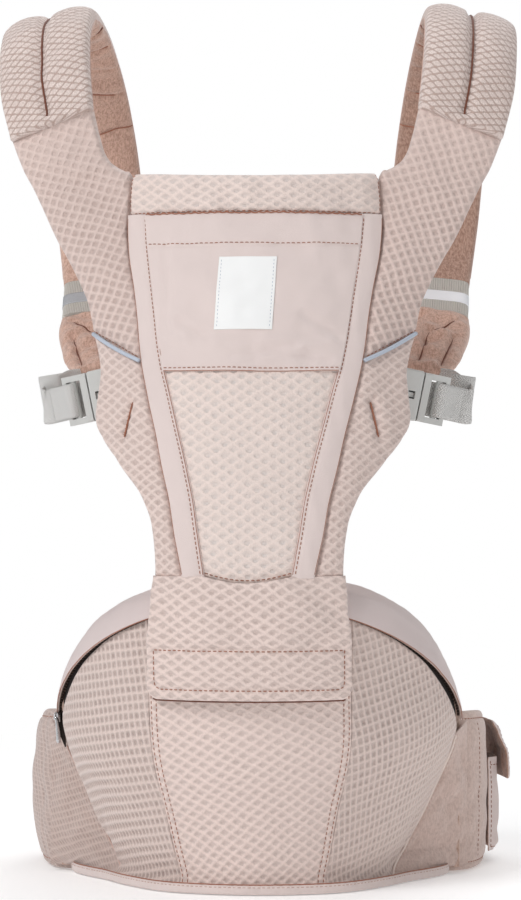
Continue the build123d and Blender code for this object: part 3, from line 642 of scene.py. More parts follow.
def knit_material(lattice, rib, cell, highlight_a, highlight_b, shade, cell_amount=0.8, uneven=0.55,
                  fade=None):
    """Knitted mesh. fade is z low, z high and amount: above, the tight fabric's cells close."""
    shader = Shader("mesh_" + lattice, rough=0.88, sheen=0.35)
    highest, step = shader.highest, shader.step
    u, v = shader.uv()
    place = shader.place()
    slow = (shader.noise(place, scale=0.09, detail=1.0) - 0.5) * 0.9
    quick = (shader.noise(place, scale=0.8, detail=1.0) - 0.5) * 1.1
    u = u + slow + quick
    v = v + (slow - quick)
    (au, av), (bu, bv), power, low, high = LATTICES[lattice]
    a = u * au + v * av
    b = u * bu + v * bv
    wave_a, wave_b = shader.triangle(a), shader.triangle(b)
    ribs = step((wave_a**power + wave_b**power) ** (1.0 / power), low, high)
    # uneven cells: some open, some nearly closed
    closed = step(shader.noise(place, scale=0.16, detail=2.0), 0.28, 0.72)
    ribs = highest(ribs, closed * uneven)
    # painted light: each cell gets a painted highlight on the side that a light from the upper left
    # would catch, and painted shade on the other side
    lit_dark = []
    for phase, other, along_u, along_v in ((a, wave_b, au, av), (b, wave_a, bu, bv)):
        turn = shader.math("FRACT", phase)
        late = step(turn, 0.62, 0.80) * (1.0 - step(turn, 0.90, 1.0))
        early = step(turn, 0.02, 0.12) * (1.0 - step(turn, 0.22, 0.40))
        lit, dark = (late, early) if -0.6 * along_u + 0.8 * along_v < 0 else (early, late)
        lit_dark.append((lit, dark * (1.0 - step(other, 0.6, 0.9))))
    (lit_a, dark_a), (lit_b, dark_b) = lit_dark
    ridge_highlights = highest(lit_a * highlight_a, lit_b * highlight_b)
    shadow = highest(dark_a, dark_b) * shade
    knit = step(shader.texture("ShaderNodeTexVoronoi", "Distance", place, Scale=0.95), 0.05, 0.75)
    rows = highest(step(shader.triangle(a * 3.0), 0.55, 1.0),
                   step(shader.triangle(b * 3.0), 0.55, 1.0))
    knit = highest(knit, (1.0 - rows) * (ribs * 0.55))
    broad = shader.noise(place, scale=0.012, detail=3.0)
    fine = shader.noise(place, scale=1.6, detail=3.0, rough=0.7)
    if fade:
        z = shader.separate(place)[2]
        ragged = z + shader.noise(place, scale=0.02, detail=2.0) * 40.0
        # the ragged edge adds 20 mm on average
        cell_amount = (1.0 - step(ragged, fade[0] + 20.0, fade[1] + 20.0) * fade[2]) * cell_amount
    light = tint(rib, 1.13)
    colour = shader.mix((1.0 - ribs) * cell_amount, rib, cell)
    # painted shade on each cell's shaded side
    colour = shader.mix(shadow * cell_amount, colour, tint(cell, 0.80))
    colour = shader.mix(knit * 0.4, colour, tint(rib, 0.72))
    # painted highlight on each cell's lit side
    colour = shader.mix(ridge_highlights * 0.45, colour, light)
    colour = shader.mix(step(fine, 0.5, 0.75) * 0.3, colour, light)
    colour = shader.mix(step(broad, 0.35, 0.75) * 0.2, colour, tint(rib, 0.86))
    height = ribs * 0.8 + ridge_highlights * 0.4 + knit * -0.5
    shader.finish(colour, height, bump=0.5, strength=0.85)


def smooth_material(name, base, rough=0.8, bump=0.12):
    """Fine twill cloth."""
    shader = Shader(name, rough, sheen=0.35)
    u, v = shader.uv()
    place = shader.place()
    weave = shader.wave(u + v, 0.62)
    weave = weave + shader.wave(u - v * 2.0, 1.3) * 0.5
    broad = shader.noise(place, scale=0.02, detail=3.0)
    fine = shader.noise(place, scale=1.8, detail=2.0)
    colour = shader.mix(shader.step(broad, 0.3, 0.75) * 0.22, base, tint(base, 0.87))
    colour = shader.mix(shader.step(weave, 0.2, 1.5) * 0.10, colour, tint(base, 0.8))
    colour = shader.mix(shader.step(fine, 0.5, 0.8) * 0.12, colour, tint(base, 1.1))
    shader.finish(colour, weave + fine * 2.0, bump, strength=0.7)


def jersey_material(name, base, streaks, amount=0.6):
    """Ribbed jersey with vertical streaks of a second colour."""
    shader = Shader(name, rough=0.92, sheen=0.4)
    place = shader.place()
    u = shader.uv()[0]
    streak = shader.noise(shader.stretch(place, (1.0, 1.0, 0.35)), scale=0.9, detail=3.0, rough=0.65)
    fleck = shader.noise(place, scale=0.35, detail=3.0, rough=0.6)
    colour = shader.mix(shader.step(streak, 0.38, 0.66) * amount, base, streaks)
    colour = shader.mix(shader.step(fleck, 0.45, 0.7) * 0.35, colour, tint(streaks, 0.82))
    height = shader.wave(u, 1.1) * 0.3 + streak * 2.2
    shader.finish(colour, height, bump=0.28, strength=0.8)


def webbing_material(name, base):
    """Herringbone: the twill turns over every few mm across the width."""
    pitch = 5.2
    shader = Shader(name, rough=0.62, sheen=0.2)
    u, v = shader.uv()
    place = shader.place()
    zigzag = shader.triangle(u / pitch) * (pitch * 0.5)
    twill = shader.wave(v + zigzag, 1.9)
    cords = shader.wave(u, 0.9)
    fine = shader.noise(place, scale=1.1, detail=3.0)
    colour = shader.mix(shader.step(twill, -0.2, 0.9) * 0.6, base, tint(base, 0.66))
    colour = shader.mix(shader.step(fine, 0.45, 0.75) * 0.2, colour, tint(base, 1.18))
    shader.finish(colour, twill + cords * 0.35, bump=0.32, strength=0.9)


def elastic_material(name, base):
    shader = Shader(name, rough=0.75, sheen=0.2)
    u, v = shader.uv()
    place = shader.place()
    ribs = shader.wave(u, 1.35)
    rows = shader.wave(v, 1.0)
    colour = shader.mix(shader.step(ribs, -0.3, 0.8) * 0.4, base, tint(base, 0.7))
    fine = shader.noise(place, scale=0.8, detail=3.0)
    colour = shader.mix(fine * 0.3, colour, tint(base, 1.15))
    shader.finish(colour, ribs + rows * 0.4, bump=0.35, strength=0.9)


def plain_material(name, base, rough, metal, sheen, grain, bump, vary):
    """Plain surface; grain is the noise scale and vary how much the colour changes."""
    shader = Shader(name, rough, sheen)
    place = shader.place()
    patches = shader.noise(place, scale=grain, detail=4.0, rough=0.6)
    colour = shader.mix(shader.step(patches, 0.35, 0.75) * vary, base, tint(base, 0.8))
    shader.put("Metallic", metal)
    shader.put("Specular IOR Level", 0.5)
    fine = shader.noise(place, scale=grain * 6, detail=3.0)
    shader.put("Roughness", patches * 0.16 + (rough - 0.08))
    shader.finish(colour, fine, bump, strength=0.6)


# lattice, rib colour, cell colour, painted highlight on the lit side of each line family (also a
# little bump), painted shade in the cells
KNITS = (
    ("center", (233, 216, 208), (206, 200, 197), 0.8, 0.7, 0.3),
    ("rhomb", (230, 210, 202), (180, 160, 153), 0.9, 0.7, 0.6),
    ("head", (233, 215, 207), (196, 187, 184), 0.8, 0.7, 0.45),
    ("front", (231, 211, 203), (192, 174, 168), 0.6, 1.0, 0.45),
    ("square", (222, 203, 195), (158, 137, 130), 0.5, 0.5, 0.5),
    ("yoke", (218, 197, 189), (175, 151, 143), 1.0, 0.8, 0.5),
    ("wing", (226, 206, 198), (184, 161, 153), 0.8, 0.7, 0.6),
    ("strap", (190, 166, 156), (242, 227, 221), 0.0, 0.0, 0.0),
    ("belt", (207, 187, 179), (160, 136, 127), 0.4, 0.4, 0.4),
)
KNIT_EXTRAS = {
    "yoke": dict(fade=(470, 540, 0.6)),
    "strap": dict(cell_amount=1.0, uneven=0.12),
}
# name, colour, rough, metal, sheen, grain, bump in mm, vary
PLAINS = (
    ("plastic", (196, 196, 193), 0.4, 0.0, 0.0, 0.25, 0.04, 0.15),
    ("chrome", (200, 200, 202), 0.16, 1.0, 0.0, 0.8, 0.01, 0.3),
    ("reflective", (190, 198, 211), 0.5, 0.12, 0.0, 0.9, 0.35, 0.3),
    # reflect_white and the grey copy after it are one reflective stripe: lit white, and in painted
    # shade
    ("reflect_white", (236, 238, 242), 0.4, 0.1, 0.0, 1.2, 0.04, 0.05),
    ("reflect_shade", (176, 178, 182), 0.45, 0.2, 0.0, 0.6, 0.3, 0.5),
    ("thread", (158, 101, 76), 0.7, 0.0, 0.3, 2.0, 0.1, 0.5),
    # dark thread, also used for cords that paint shade under the flap and in the strap end's folds
    ("thread_dark", (112, 62, 42), 0.75, 0.0, 0.2, 2.0, 0.1, 0.5),
    ("thread_pink", (205, 172, 160), 0.75, 0.0, 0.3, 2.0, 0.1, 0.4),
    ("thread_grey", (190, 196, 206), 0.7, 0.0, 0.3, 2.0, 0.1, 0.3),
    ("zip_teeth", (92, 76, 68), 0.4, 0.7, 0.0, 1.0, 0.02, 0.3),
    # near-black zip tape that also paints the shade of the slot under the lid
    ("dark_tape", (34, 24, 21), 0.9, 0.0, 0.0, 0.9, 0.15, 0.4),
    ("base_board", (206, 188, 180), 0.85, 0.0, 0.3, 0.7, 0.2, 0.15),
    ("hook", (205, 186, 178), 0.9, 0.0, 0.3, 1.4, 0.6, 0.5),
    ("piping_light", (232, 216, 207), 0.7, 0.0, 0.3, 1.6, 0.1, 0.15),
)


def make_materials():
    for lattice, rib, cell, *amounts in KNITS:
        knit_material(lattice, srgb(*rib), srgb(*cell), *amounts, **KNIT_EXTRAS.get(lattice, {}))
    smooth_material("smooth", srgb(237, 220, 215))
    smooth_material("smooth_lid", srgb(228, 211, 208))
    smooth_material("label", srgb(248, 248, 247), rough=0.6, bump=0.06)
    jersey_material("knit_belt", srgb(214, 191, 181), srgb(184, 158, 148), amount=0.5)
    jersey_material("jersey", srgb(214, 186, 172), srgb(168, 134, 118))
    jersey_material("jersey_dark", srgb(188, 155, 139), srgb(138, 103, 87), amount=0.75)
    jersey_material("jersey_end", srgb(216, 182, 166), srgb(160, 122, 104))
    webbing_material("webbing", srgb(226, 224, 221))
    elastic_material("elastic", srgb(208, 203, 195))
    for name, colour, *settings in PLAINS:
        plain_material(name, srgb(*colour), *settings)


# ------------------------------------------------------------------ body panel
# (z, value) rows: y of the panel's middle, and x of the trim's two edges and the wing's outline
middle_y = profile([
    (190, -142), (200, -139), (224, -134), (260, -127), (300, -118.5), (350, -105), (400, -88),
    (450, -70), (476, -62), (505, -56), (560, -44)], 9)
trim_outer = profile([
    (200, 42), (224, 45.0), (251, 51), (274, 54.6), (295, 60), (319, 65.0), (343, 71.0),
    (365, 76.0), (384, 79.0), (403, 81), (423, 84), (445, 88.4), (463, 90.0), (475.5, 90.0),
    (500, 90)], 5)
trim_inner = profile([
    (200, 28), (224, 30.6), (253, 35.5), (274, 38.5), (303, 45), (326, 51), (350, 57),
    (366, 61.5), (384, 65), (403, 67.5), (414, 69), (434, 72), (453, 74.6), (475.5, 76.3),
    (500, 77)], 5)
wing_outline = profile([
    (200, 66), (224, 65.0), (232, 65), (246, 66), (263, 69), (274, 74), (282, 77.5), (291, 85.5),
    (304, 95.5), (319.5, 107.5), (330, 111.6), (344, 110), (365, 107.8), (381, 111), (391, 114.5),
    (400, 116)], 5)
POCKET_Z = (363.6, 475.6)
# x, z of the piping's ends, on the seam between wing and yoke
PIPE_IN, PIPE_OUT = (79.0, 371.0), (114.5, 391.0)
PIPE_DX, PIPE_DZ = PIPE_OUT[0] - PIPE_IN[0], PIPE_OUT[1] - PIPE_IN[1]
# x, y, z along the yoke's inner and outer edges; y None lies on the panel
YOKE_INNER = [
    (77.4, None, 370.2), (81.2, None, 403), (84.2, None, 423), (88.4, None, 445),
    (90.6, None, 465), (89.8, None, 478), (88.8, None, 492), (88.2, None, 502.4),
    (92.4, -29.3, 504.9), (98.5, -29.6, 507.8), (104.3, -29.9, 512.4), (108.6, -30.0, 519.0),
    (111.6, -29.8, 527.5), (114.4, -29.5, 538), (117.6, -29, 552.5)]
YOKE_OUTER = [
    (115, None, 391.8), (119.5, -37, 412), (126, -34, 427), (135, -31, 445), (143, -28, 460),
    (154, -24, 484), (160, -22, 496), (167, -20, 508), (171, -19.6, 517.5), (175.5, -18.6, 529.5)]


def panel_face(x, z):
    return middle_y(z) + 45.0 * (np.abs(x) / 110.0) ** 2.2


def make_centre_pad():
    def surface(s, t):
        side = 2 * s - 1
        low = 224.5 - 6.0 * (1 - side * side)
        z = low + (367.5 - low) * t
        x = side * (trim_inner(z) + 1.0)
        return xyz(x, panel_face(x, z), z)

    sheet = Sheet(surface, 98, 146, edge=1.6, res=0.85, uv=flat_uv)
    damp = ease(1.0, 5.0, sheet.rim)
    sheet.drift(0.55, 32, 301)
    sheet.height = (0.8 * relief("center", sheet.u, sheet.v) * damp + 1.6 * puff(sheet.rim, 12)
                    - 0.9 + 0.35 * wavy(sheet.u, sheet.v, 60, 3))
    obj = sheet.build("panel_mesh_center_pad", 6.0, "mesh_center", "jersey")
    fit(obj, "panel", "mesh_fabric", "panel_mesh_center")
    stitch("panel", sheet.along_s(2.2, (0.03, 0.97, 60), 0.15))
    for inset in (1.1, -1.1):
        stitch("panel", sheet.along_t(inset, (0.02, 0.985, 140)),
               length=2.0, gap=0.6, radius=0.28, material="thread_pink")


# x0, z0, x1, z1, depth, width
POCKET_FOLDS = (
    (-38, 388, -6, 402, 0.55, 5), (-50, 398, -30, 386, 0.5, 4), (12, 378, 52, 371, 0.5, 4.5),
    (36, 402, 60, 388, 0.45, 4), (-62, 452, -58, 392, 0.4, 4), (-12, 374, 30, 381, 0.35, 4))
# the same, raised instead of pressed in
POCKET_RIDGES = (
    (-46, 384, -14, 398, -1.0, 4.0), (-10, 400, 18, 404, -0.5, 4.5),
    (20, 376, 54, 384, -0.7, 4.0), (-66, 440, -60, 404, -0.5, 3.5))


def make_pocket():
    low, high = POCKET_Z
    seam_z = 453.4

    def surface(s, t):
        z = low + (high - low) * t
        x = (2 * s - 1) * (trim_inner(z) + 0.6)
        return xyz(x, panel_face(x, z) - 2.3, z)

    sheet = Sheet(surface, 148, 116, edge=1.0, res=1.1, uv=flat_uv)
    x, z = sheet.x, sheet.z
    bulge = np.sin(np.pi * np.clip((z - 366) / 84, 0, 1)) * np.cos(
        np.clip(x / 75, -1, 1) * np.pi / 2)
    sheet.height = 2.4 * bulge + 0.8 * wavy(x, z, 60, 11) + 0.35 * wavy(x, z, 26, 12)
    for x0, z0, x1, z1, depth, width in POCKET_FOLDS:
        distance = line_distance(x, z, [(x0, z0), (x1, z1)])
        sheet.height = (sheet.height - 1.9 * depth * bell(distance, width)
                        + 1.1 * depth * bell(distance - width * 1.3, width))
    sheet.crease(x, z, POCKET_RIDGES)
    # the folded hem along the top
    sheet.height = sheet.height + 0.55 * ease(451.4, 452.4, z) - 0.7 * bell(z - 452.0, 1.0)
    obj = sheet.build("panel_pocket_cloth", 1.7, "smooth")
    fit(obj, "panel", "smooth_fabric", "panel_pocket")
    span = (0.008, 0.992, 90)
    stitch("panel", sheet.at(np.linspace(*span), (seam_z - low) / (high - low), 0.12))
    stitch("panel", sheet.along_s(2.4, span, 0.12))
    cord("pocket_edge_thread", sheet.along_s(0.25, span)[0], 0.3, "panel")
    ripple = np.array([0, 0, 1.0]) * (0.35 * np.sin(np.arange(90) * 1.9))[:, None]
    cord("head_seam_thread", sheet.along_s(-0.9, span, 0.55)[0] + ripple, 0.5, "panel")
    return sheet


def make_trim(side, mirrored, seed):
    def surface(s, t):
        z = 221.5 + (475.8 - 221.5) * t
        x = trim_inner(z) - 0.7 + s * (trim_outer(z) - trim_inner(z) + 1.4)
        return xyz(x, panel_face(x, z) - 2.0, z)

    sheet = Sheet(surface, 14, 262, edge=1.3, res=0.95, mirror=mirrored, uv=flat_uv)
    arch = np.sin(np.pi * sheet.s)
    sheet.height = 0.35 * wavy(sheet.u * 2, sheet.v, 34, 21 + seed) * arch + 0.9 * arch - 0.3
    sheet.height = sheet.height - 0.55 * bell(sheet.from_s0 - 2.2, 0.9)
    obj = sheet.build("panel_trim_band_" + side, 6.5, "smooth", "jersey")
    fit(obj, "panel", "smooth_fabric", "panel_trim_" + side)
    span = (0.012, 0.988, 230)
    stitch("panel", sheet.along_t(2.3, span, 0.12), length=2.4, gap=1.0)
    # continuous cord at the trim's inner edge: painted shadow of the seam's fold, in thread colour
    cord("seam_fold_shadow_inner_" + side, sheet.along_t(0.45, span, -0.02)[0], 0.28, "panel")
    cord("seam_thread_outer_" + side, sheet.along_t(-0.75, span, 0.02)[0], 0.3, "panel")


# x, z of the bar tack's ends, and creases near it: x0, z0, x1, z1, depth, width
TACK = [(82.5, 342.0), (88.0, 318.0)]
WING_CREASES = (
    (86, 312, 99, 301, 0.8, 3.4), (90, 322, 108, 318, 0.7, 3.4),
    (84, 345, 96, 356, 0.6, 3.4), (76, 330, 70, 322, 0.5, 3.4))


def make_wing(side, mirrored, seed):
    def surface(s, t):
        top = PIPE_IN[1] + PIPE_DZ * s + 1.3
        low = 221.0 + 2.5 * s
        z = low + (top - low) * t
        inner = trim_outer(z) + 0.2
        x = inner + (wing_outline(z) + 0.6 - inner) * s
        return xyz(x, panel_face(x, z) + 0.2, z)

    sheet = Sheet(surface, 34, 158, edge=3.4, res=0.85, mirror=mirrored, uv=flat_uv)
    x, z = np.abs(sheet.x), sheet.z
    damp = ease(1.5, 4.5, sheet.rim)
    sheet.drift(0.6, 34, 311)
    sheet.height = (0.8 * relief("wing", sheet.u, sheet.v) * damp + 2.4 * puff(sheet.rim, 8)
                    - 0.6 + 0.5 * wavy(sheet.u, sheet.v, 42, 31 + seed))
    # pinched pleat that the bar tack holds
    distance = line_distance(x, z, TACK)
    sheet.height = sheet.height - 2.4 * bell(distance, 2.6) + 0.9 * bell(distance - 7, 5.0)
    sheet.crease(x, z, WING_CREASES)
    obj = sheet.build("panel_wing_pad_" + side, 8.5, "mesh_wing", "jersey")
    fit(obj, "panel", "mesh_fabric", "panel_wing_" + side)


def make_bar_tack(side, mirrored):
    count = 18
    fraction = np.linspace(0, 1, count)
    x = TACK[0][0] + (TACK[1][0] - TACK[0][0]) * fraction
    z = TACK[0][1] + (TACK[1][1] - TACK[0][1]) * fraction
    points = xyz(x, panel_face(x, z) - 0.3, z) * side_scale(mirrored)
    radius = 0.75 * np.sin(np.pi * np.linspace(0.12, 0.88, count)) ** 0.4
    cord("bar_tack_" + side, points, radius, "panel", sides=8)
    for i in (1, 3, 5, 7, 9, 11, 13, 15, 16):
        bar = points[i] + np.array([(-1.3, -0.75, 0.5), (1.3, -0.75, -0.5)])
        stitch("panel", (bar, np.tile([0, -1.0, 0], (2, 1))), length=2.2, gap=0.1, radius=0.26)


# x0, z0, x1, z1, depth, width
YOKE_CREASES = (
    (100, 508, 124, 500, 1.2, 5), (104, 516, 130, 517, 1.0, 4), (118, 540, 132, 505, 0.9, 4),
    (140, 530, 138, 500, 0.8, 4), (96, 492, 112, 478, 0.8, 4), (112, 530, 140, 537, 0.8, 3.5))


def make_yoke(side, mirrored, seed):
    inner, outer = (
        np.array([(x, float(panel_face(x, z)) if y is None else y, z) for x, y, z in edge])
        for edge in (YOKE_INNER, YOKE_OUTER))
    inner[:, 1] -= 0.5

    def surface(s, t):
        start, end = spline(inner, t), spline(outer, t)
        return start + (end - start) * s[..., None]

    sheet = Sheet(surface, 56, 190, edge=4.0, res=0.85, mirror=mirrored,
                  narrow_s=(2.2, 1.0), narrow_t=(2.0, 2.0))
    x, z = sheet.x * (-1 if mirrored else 1), sheet.z
    sheet.rotate_uv(x, z, 13)
    damp = ease(1.5, 5, sheet.rim)
    sheet.drift(0.4, 34, 321)
    rim = np.minimum(np.minimum(sheet.from_s0, sheet.from_s1), sheet.from_t0 + 2)
    sheet.height = (0.8 * relief("yoke", sheet.u, sheet.v) * damp + 3.6 * puff(rim, 10) - 0.8
                    + 0.9 * wavy(x, z, 46, 41 + seed) * damp)
    sheet.crease(x, z, YOKE_CREASES)
    obj = sheet.build("shoulder_yoke_pad_" + side, 11.5, "mesh_yoke", "jersey")
    fit(obj, "panel", "mesh_fabric", "shoulder_yoke_" + side)
    stitch("panel", sheet.along_s(3.0, (0.04, 0.96, 40), 0.15))
    seam = sheet.along_s(-0.3, (0.02, 0.98, 30), -1.2)[0]
    cord("yoke_top_seam_" + side, seam, 0.4, "panel")


def make_piping(side, mirrored):
    """Reflective piping in the seam between wing and yoke."""
    f = np.linspace(-0.02, 0.985, 50)
    x = PIPE_IN[0] + PIPE_DX * f
    z = PIPE_IN[1] + PIPE_DZ * f + 0.4 - 1.2 * np.sin(np.pi * np.clip(f, 0, 1))
    points = xyz(x, panel_face(x, z) - 3.5 + 2.6 * ease(0.85, 1.0, f), z)
    cord("reflective_piping_" + side, points * side_scale(mirrored), 1.45, "panel", "reflective",
         "reflective", sides=12, replaced=("reflective_piping",) if mirrored else ())


def make_head_roll():
    """Head and neck support along the panel's top."""
    def surface(s, t):
        x = (2 * s - 1) * 89.0
        top = 504.5 - 3.5 * (1 - (x / 89.0) ** 2)
        z = 474.3 + (top - 473.5) * t
        return xyz(x, panel_face(x, 485) - 3.2 + 2.4 * ease(74, 90, np.abs(x)), z)

    sheet = Sheet(surface, 192, 29, edge=7.5, res=0.85, uv=flat_uv,
                  narrow_s=(5.0, 5.0), narrow_t=(2.6, 1.0))
    ends = np.minimum(sheet.from_s0, sheet.from_s1)
    sheet.drift(0.5, 30, 331)
    sheet.height = (0.75 * relief("head", sheet.u, sheet.v) * ease(0.5, 4, sheet.rim)
                    + 0.8 * wavy(sheet.u, sheet.v * 0.6, 30, 51) + 0.6 - 0.8 * bell(ends, 3.0))
    obj = sheet.build("head_support_roll", 16.5, "mesh_head")
    fit(obj, "head_support", "mesh_fabric", "head_support")
    stitch("head_support", sheet.along_s(2.0, (0.02, 0.98, 90), 0.25), length=2.6, gap=1.4)
    for inset in (1.6, -1.6):
        stitch("head_support", sheet.along_t(inset, (0.03, 0.97, 24), 0.1), length=2.2, gap=1.0)


def make_label(pocket):
    """Blank label that follows the pocket's surface."""
    cloth = pocket.front.reshape(-1, 3)
    cloth = cloth[(abs(cloth[:, 0]) < 36) & (abs(cloth[:, 2] - 418) < 36)]

    def surface(s, t):
        z = 392.3 + (443.8 - 392.3) * t
        x = -25.6 + 0.05 * (z - 392.5) + 40.6 * s
        y = np.zeros(x.shape)
        for row in range(x.shape[0]):
            apart = ((x[row][:, None] - cloth[None, :, 0]) ** 2
                     + (z[row][:, None] - cloth[None, :, 2]) ** 2)
            weight = np.exp(-apart / 4.5)
            y[row] = (weight * cloth[None, :, 1]).sum(1) / weight.sum(1)
        return xyz(x, y - 0.95, z)

    sheet = Sheet(surface, 41, 53, edge=0.45, res=0.9, uv=flat_uv)
    sheet.height = 0.12 * wavy(sheet.u, sheet.v, 16, 61)
    fit(sheet.build("panel_label_blank", 0.9, "label"), "panel", "label", "panel_label")
    for inset in (2.0, -2.0):
        stitch("panel", sheet.along_t(inset, (0.03, 0.97, 40), 0.03),
               length=1.5, gap=1.3, radius=0.22, material="thread_grey")


def make_lining():
    """Lining on the wearer's side."""
    def surface(s, t):
        z = 225.5 + (474.0 - 225.5) * t
        x = (2 * s - 1) * (trim_outer(z) - 0.8)
        return xyz(x, panel_face(x, z) + 9.6, z)

    sheet = Sheet(surface, 160, 256, edge=1.4, res=2.0, uv=flat_uv, flip=True)
    sheet.height = (0.8 * wavy(sheet.u, sheet.v, 55, 71) * ease(0, 12, sheet.rim)
                    + 0.4 * wavy(sheet.u, sheet.v, 25, 72))
    for level in (290, 350, 415):
        drop = sheet.z - level + 4 * np.sin(sheet.u / 30)
        sheet.height = sheet.height - 0.9 * bell(drop, 1.6)
    obj = sheet.build("panel_lining_cloth", 2.6, "jersey")
    fit(obj, "panel", "lining_jersey", "panel_lining")
    for inset in (3.0, -3.0):
        stitch("panel", sheet.along_t(inset, (0.02, 0.98, 200), 0.1))


def make_panel():
    make_centre_pad()
    pocket = make_pocket()
    for side, mirrored in SIDES:
        seed = 5 if mirrored else 0
        make_trim(side, mirrored, seed)
        make_wing(side, mirrored, seed)
        make_bar_tack(side, mirrored)
        make_yoke(side, mirrored, seed)
        make_piping(side, mirrored)
    make_head_roll()
    make_label(pocket)
    make_lining()


# ------------------------------------------------------------------ hip seat
# The seat's wall is half an ellipse round (0, SEAT_BACK_Y); phi is the angle from the front
# (-Y) towards +X.
SEAT_BACK_Y = 45.0
PHI_END = math.radians(86)
PHI_FRONT = 0.4994           # where the front cover ends
PHI_SIDE = 0.5006            # where the side covers begin
# z, half width
seat_half_width = profile([
    (-20, 85), (0, 97.0), (10, 104.0), (30, 113.5), (62, 126.0), (90, 139.0), (105, 143.5),
    (118, 145.0), (240, 145.4)], 5)
# x, y of the lower hem's right half, from the front
HEM = [(0, -77.0), (33, -72.5), (63, -59.5), (91, -28), (107, -2), (122, 17), (131, 32),
       (134.5, 44.0)]
HEM_LINE = on_floor([(-x, y) for x, y in HEM[::-1]] + HEM[1:])


def seat_depth(z):
    f = np.clip(np.asarray(z, float) / 212.0, 0.0, 1.0)
    return 115.0 + 64.0 * f ** 0.8 + 5.0 * np.sin(np.pi * f)


def zip_z(phi):
    return 108.0 + 99.0 * np.cos(phi)


def lid_z(phi):
    return 118.0 + 98.6 * np.sqrt(np.maximum(1 - np.abs(np.sin(phi)) ** 2.8, 0))


def lid_x(phi):
    waist = np.sin(np.pi * np.clip((lid_z(phi) - 118.0) / 98.6, 0, 1)) ** 0.7
    return 148.2 * np.sin(phi) * (1 - 0.036 * waist)


def zip_gap(phi):
    """Height of the slot under the lid, by side."""
    degrees = np.degrees(np.abs(phi))
    right = np.interp(degrees, [0, 44, 56, 66, 74, 80, 86], [0.8, 0.9, 2.2, 5.6, 8.0, 7.6, 6.0])
    left = np.interp(degrees, [0, 44, 56, 66, 74, 80, 84, 86],
                     [0.8, 0.9, 2.6, 6.4, 9.6, 13.0, 20.0, 21.0])
    return np.where(phi > 0, right, left)


def wall(phi, z, inset=0.0):
    width, depth = seat_half_width(z), seat_depth(z)
    return xyz((width - inset) * np.sin(phi), SEAT_BACK_Y - (depth - inset) * np.cos(phi), z)


def polar(x, y):
    """Angle and radius about the middle of the seat's back."""
    return np.arctan2(x, SEAT_BACK_Y - y), np.hypot(x, SEAT_BACK_Y - y)


HEM_ANGLE, HEM_RADIUS = polar(*spline(HEM_LINE, np.linspace(0, 1, 400))[:, :2].T)


def flared(phi, z, inset=0.0):
    """Seat wall whose last few mm spread out to the hem."""
    points = wall(phi, z, inset)
    angle, radius = polar(points[..., 0], points[..., 1])
    wanted = np.interp(angle, HEM_ANGLE, HEM_RADIUS) + 1.2 - inset
    spread = np.clip(1 - (z - 4.0) / 17.0, 0, 1) ** 2.4
    radius = radius + np.maximum(wanted - radius, 0) * spread
    return xyz(radius * np.sin(angle), SEAT_BACK_Y - radius * np.cos(angle), z)


def cover_surface(start, end):
    def surface(s, t):
        phi = start + (end - start) * s
        z = 4.4 + (zip_z(phi) - 1.2 - zip_gap(phi) - 4.4) * t
        return flared(phi, z)
    return surface


def cover_uv(sheet):
    middle = sheet.from_s0[sheet.s.shape[0] // 2]
    return np.broadcast_to(middle - middle.mean(), sheet.s.shape), sheet.z


def make_front_cover():
    sheet = Sheet(cover_surface(-PHI_FRONT, PHI_FRONT), 152, 200, edge=0.7, res=0.85, uv=cover_uv)
    sides = np.minimum(sheet.from_s0, sheet.from_s1)
    damp = ease(5.2, 7.5, sides)
    sheet.drift(0.45, 36, 341)
    sheet.height = (0.8 * relief("front", sheet.u, sheet.v, 0.4) * damp - 0.1
                    + 0.85 * (1 - damp) + 0.45 * wavy(sheet.u, sheet.v, 70, 81))
    for inset in (1.7, 5.9):
        sheet.height = sheet.height - 0.55 * bell(sides - inset, 0.8)
    sheet.height = sheet.height - 0.5 * np.exp(-(sheet.z - 3.4) / 5.0)
    obj = sheet.build("seat_front_cover_mesh", 2.6, "mesh_front", "jersey")
    fit(obj, "seat", "mesh_fabric", "seat_front_cover")
    for inset in (1.8, -1.8, 5.9, -5.9):
        stitch("seat", sheet.along_t(inset, (0.01, 0.995, 230), 0.1), length=2.4, gap=1.3)


def make_side_covers():
    # side, phi range, lattice turn in degrees, seed, creases (u0, v0, u1, v1, depth, width)
    covers = (
        ("right", PHI_SIDE, PHI_END, 14, 82, ((52, 8, 34, 44, 1.6, 9), (36, 5, 12, 20, 0.9, 6))),
        ("left", -PHI_END, -PHI_SIDE, 8, 85,
         ((-62, 8, -30, 40, 1.6, 9), (-40, 6, -10, 22, 1.0, 6))))
    for side, start, end, degrees, seed, lines in covers:
        sheet = Sheet(cover_surface(start, end), 150, 160, edge=0.7, res=0.85, uv=cover_uv)
        u, v = sheet.u, sheet.v
        sheet.rotate_uv(u, v, degrees)
        front = sheet.from_s0 if side == "right" else sheet.from_s1
        damp = ease(2.0, 4.0, front)
        sheet.drift(0.12, 60, 351)
        sheet.height = (
            0.85 * relief("square", sheet.u, sheet.v, 0.1) * damp * ease(0.3, 3, sheet.from_t1)
            - 0.1 + 0.85 * (1 - ease(2.0, 3.6, front)) + 0.6 * wavy(u, v, 60, seed))
        sheet.crease(u, v, lines)
        obj = sheet.build("seat_side_cover_mesh_" + side, 2.6, "mesh_square", "jersey")
        fit(obj, "seat", "mesh_fabric", "seat_side_cover_" + side)


BOX_CORNERS = [(a, b, c) for a in (-1, 1) for b in (-1, 1) for c in (-1, 1)]
BOX_FACES = ((0, 1, 3, 2), (4, 6, 7, 5), (0, 4, 5, 1), (2, 3, 7, 6), (0, 2, 6, 4), (1, 5, 7, 3))


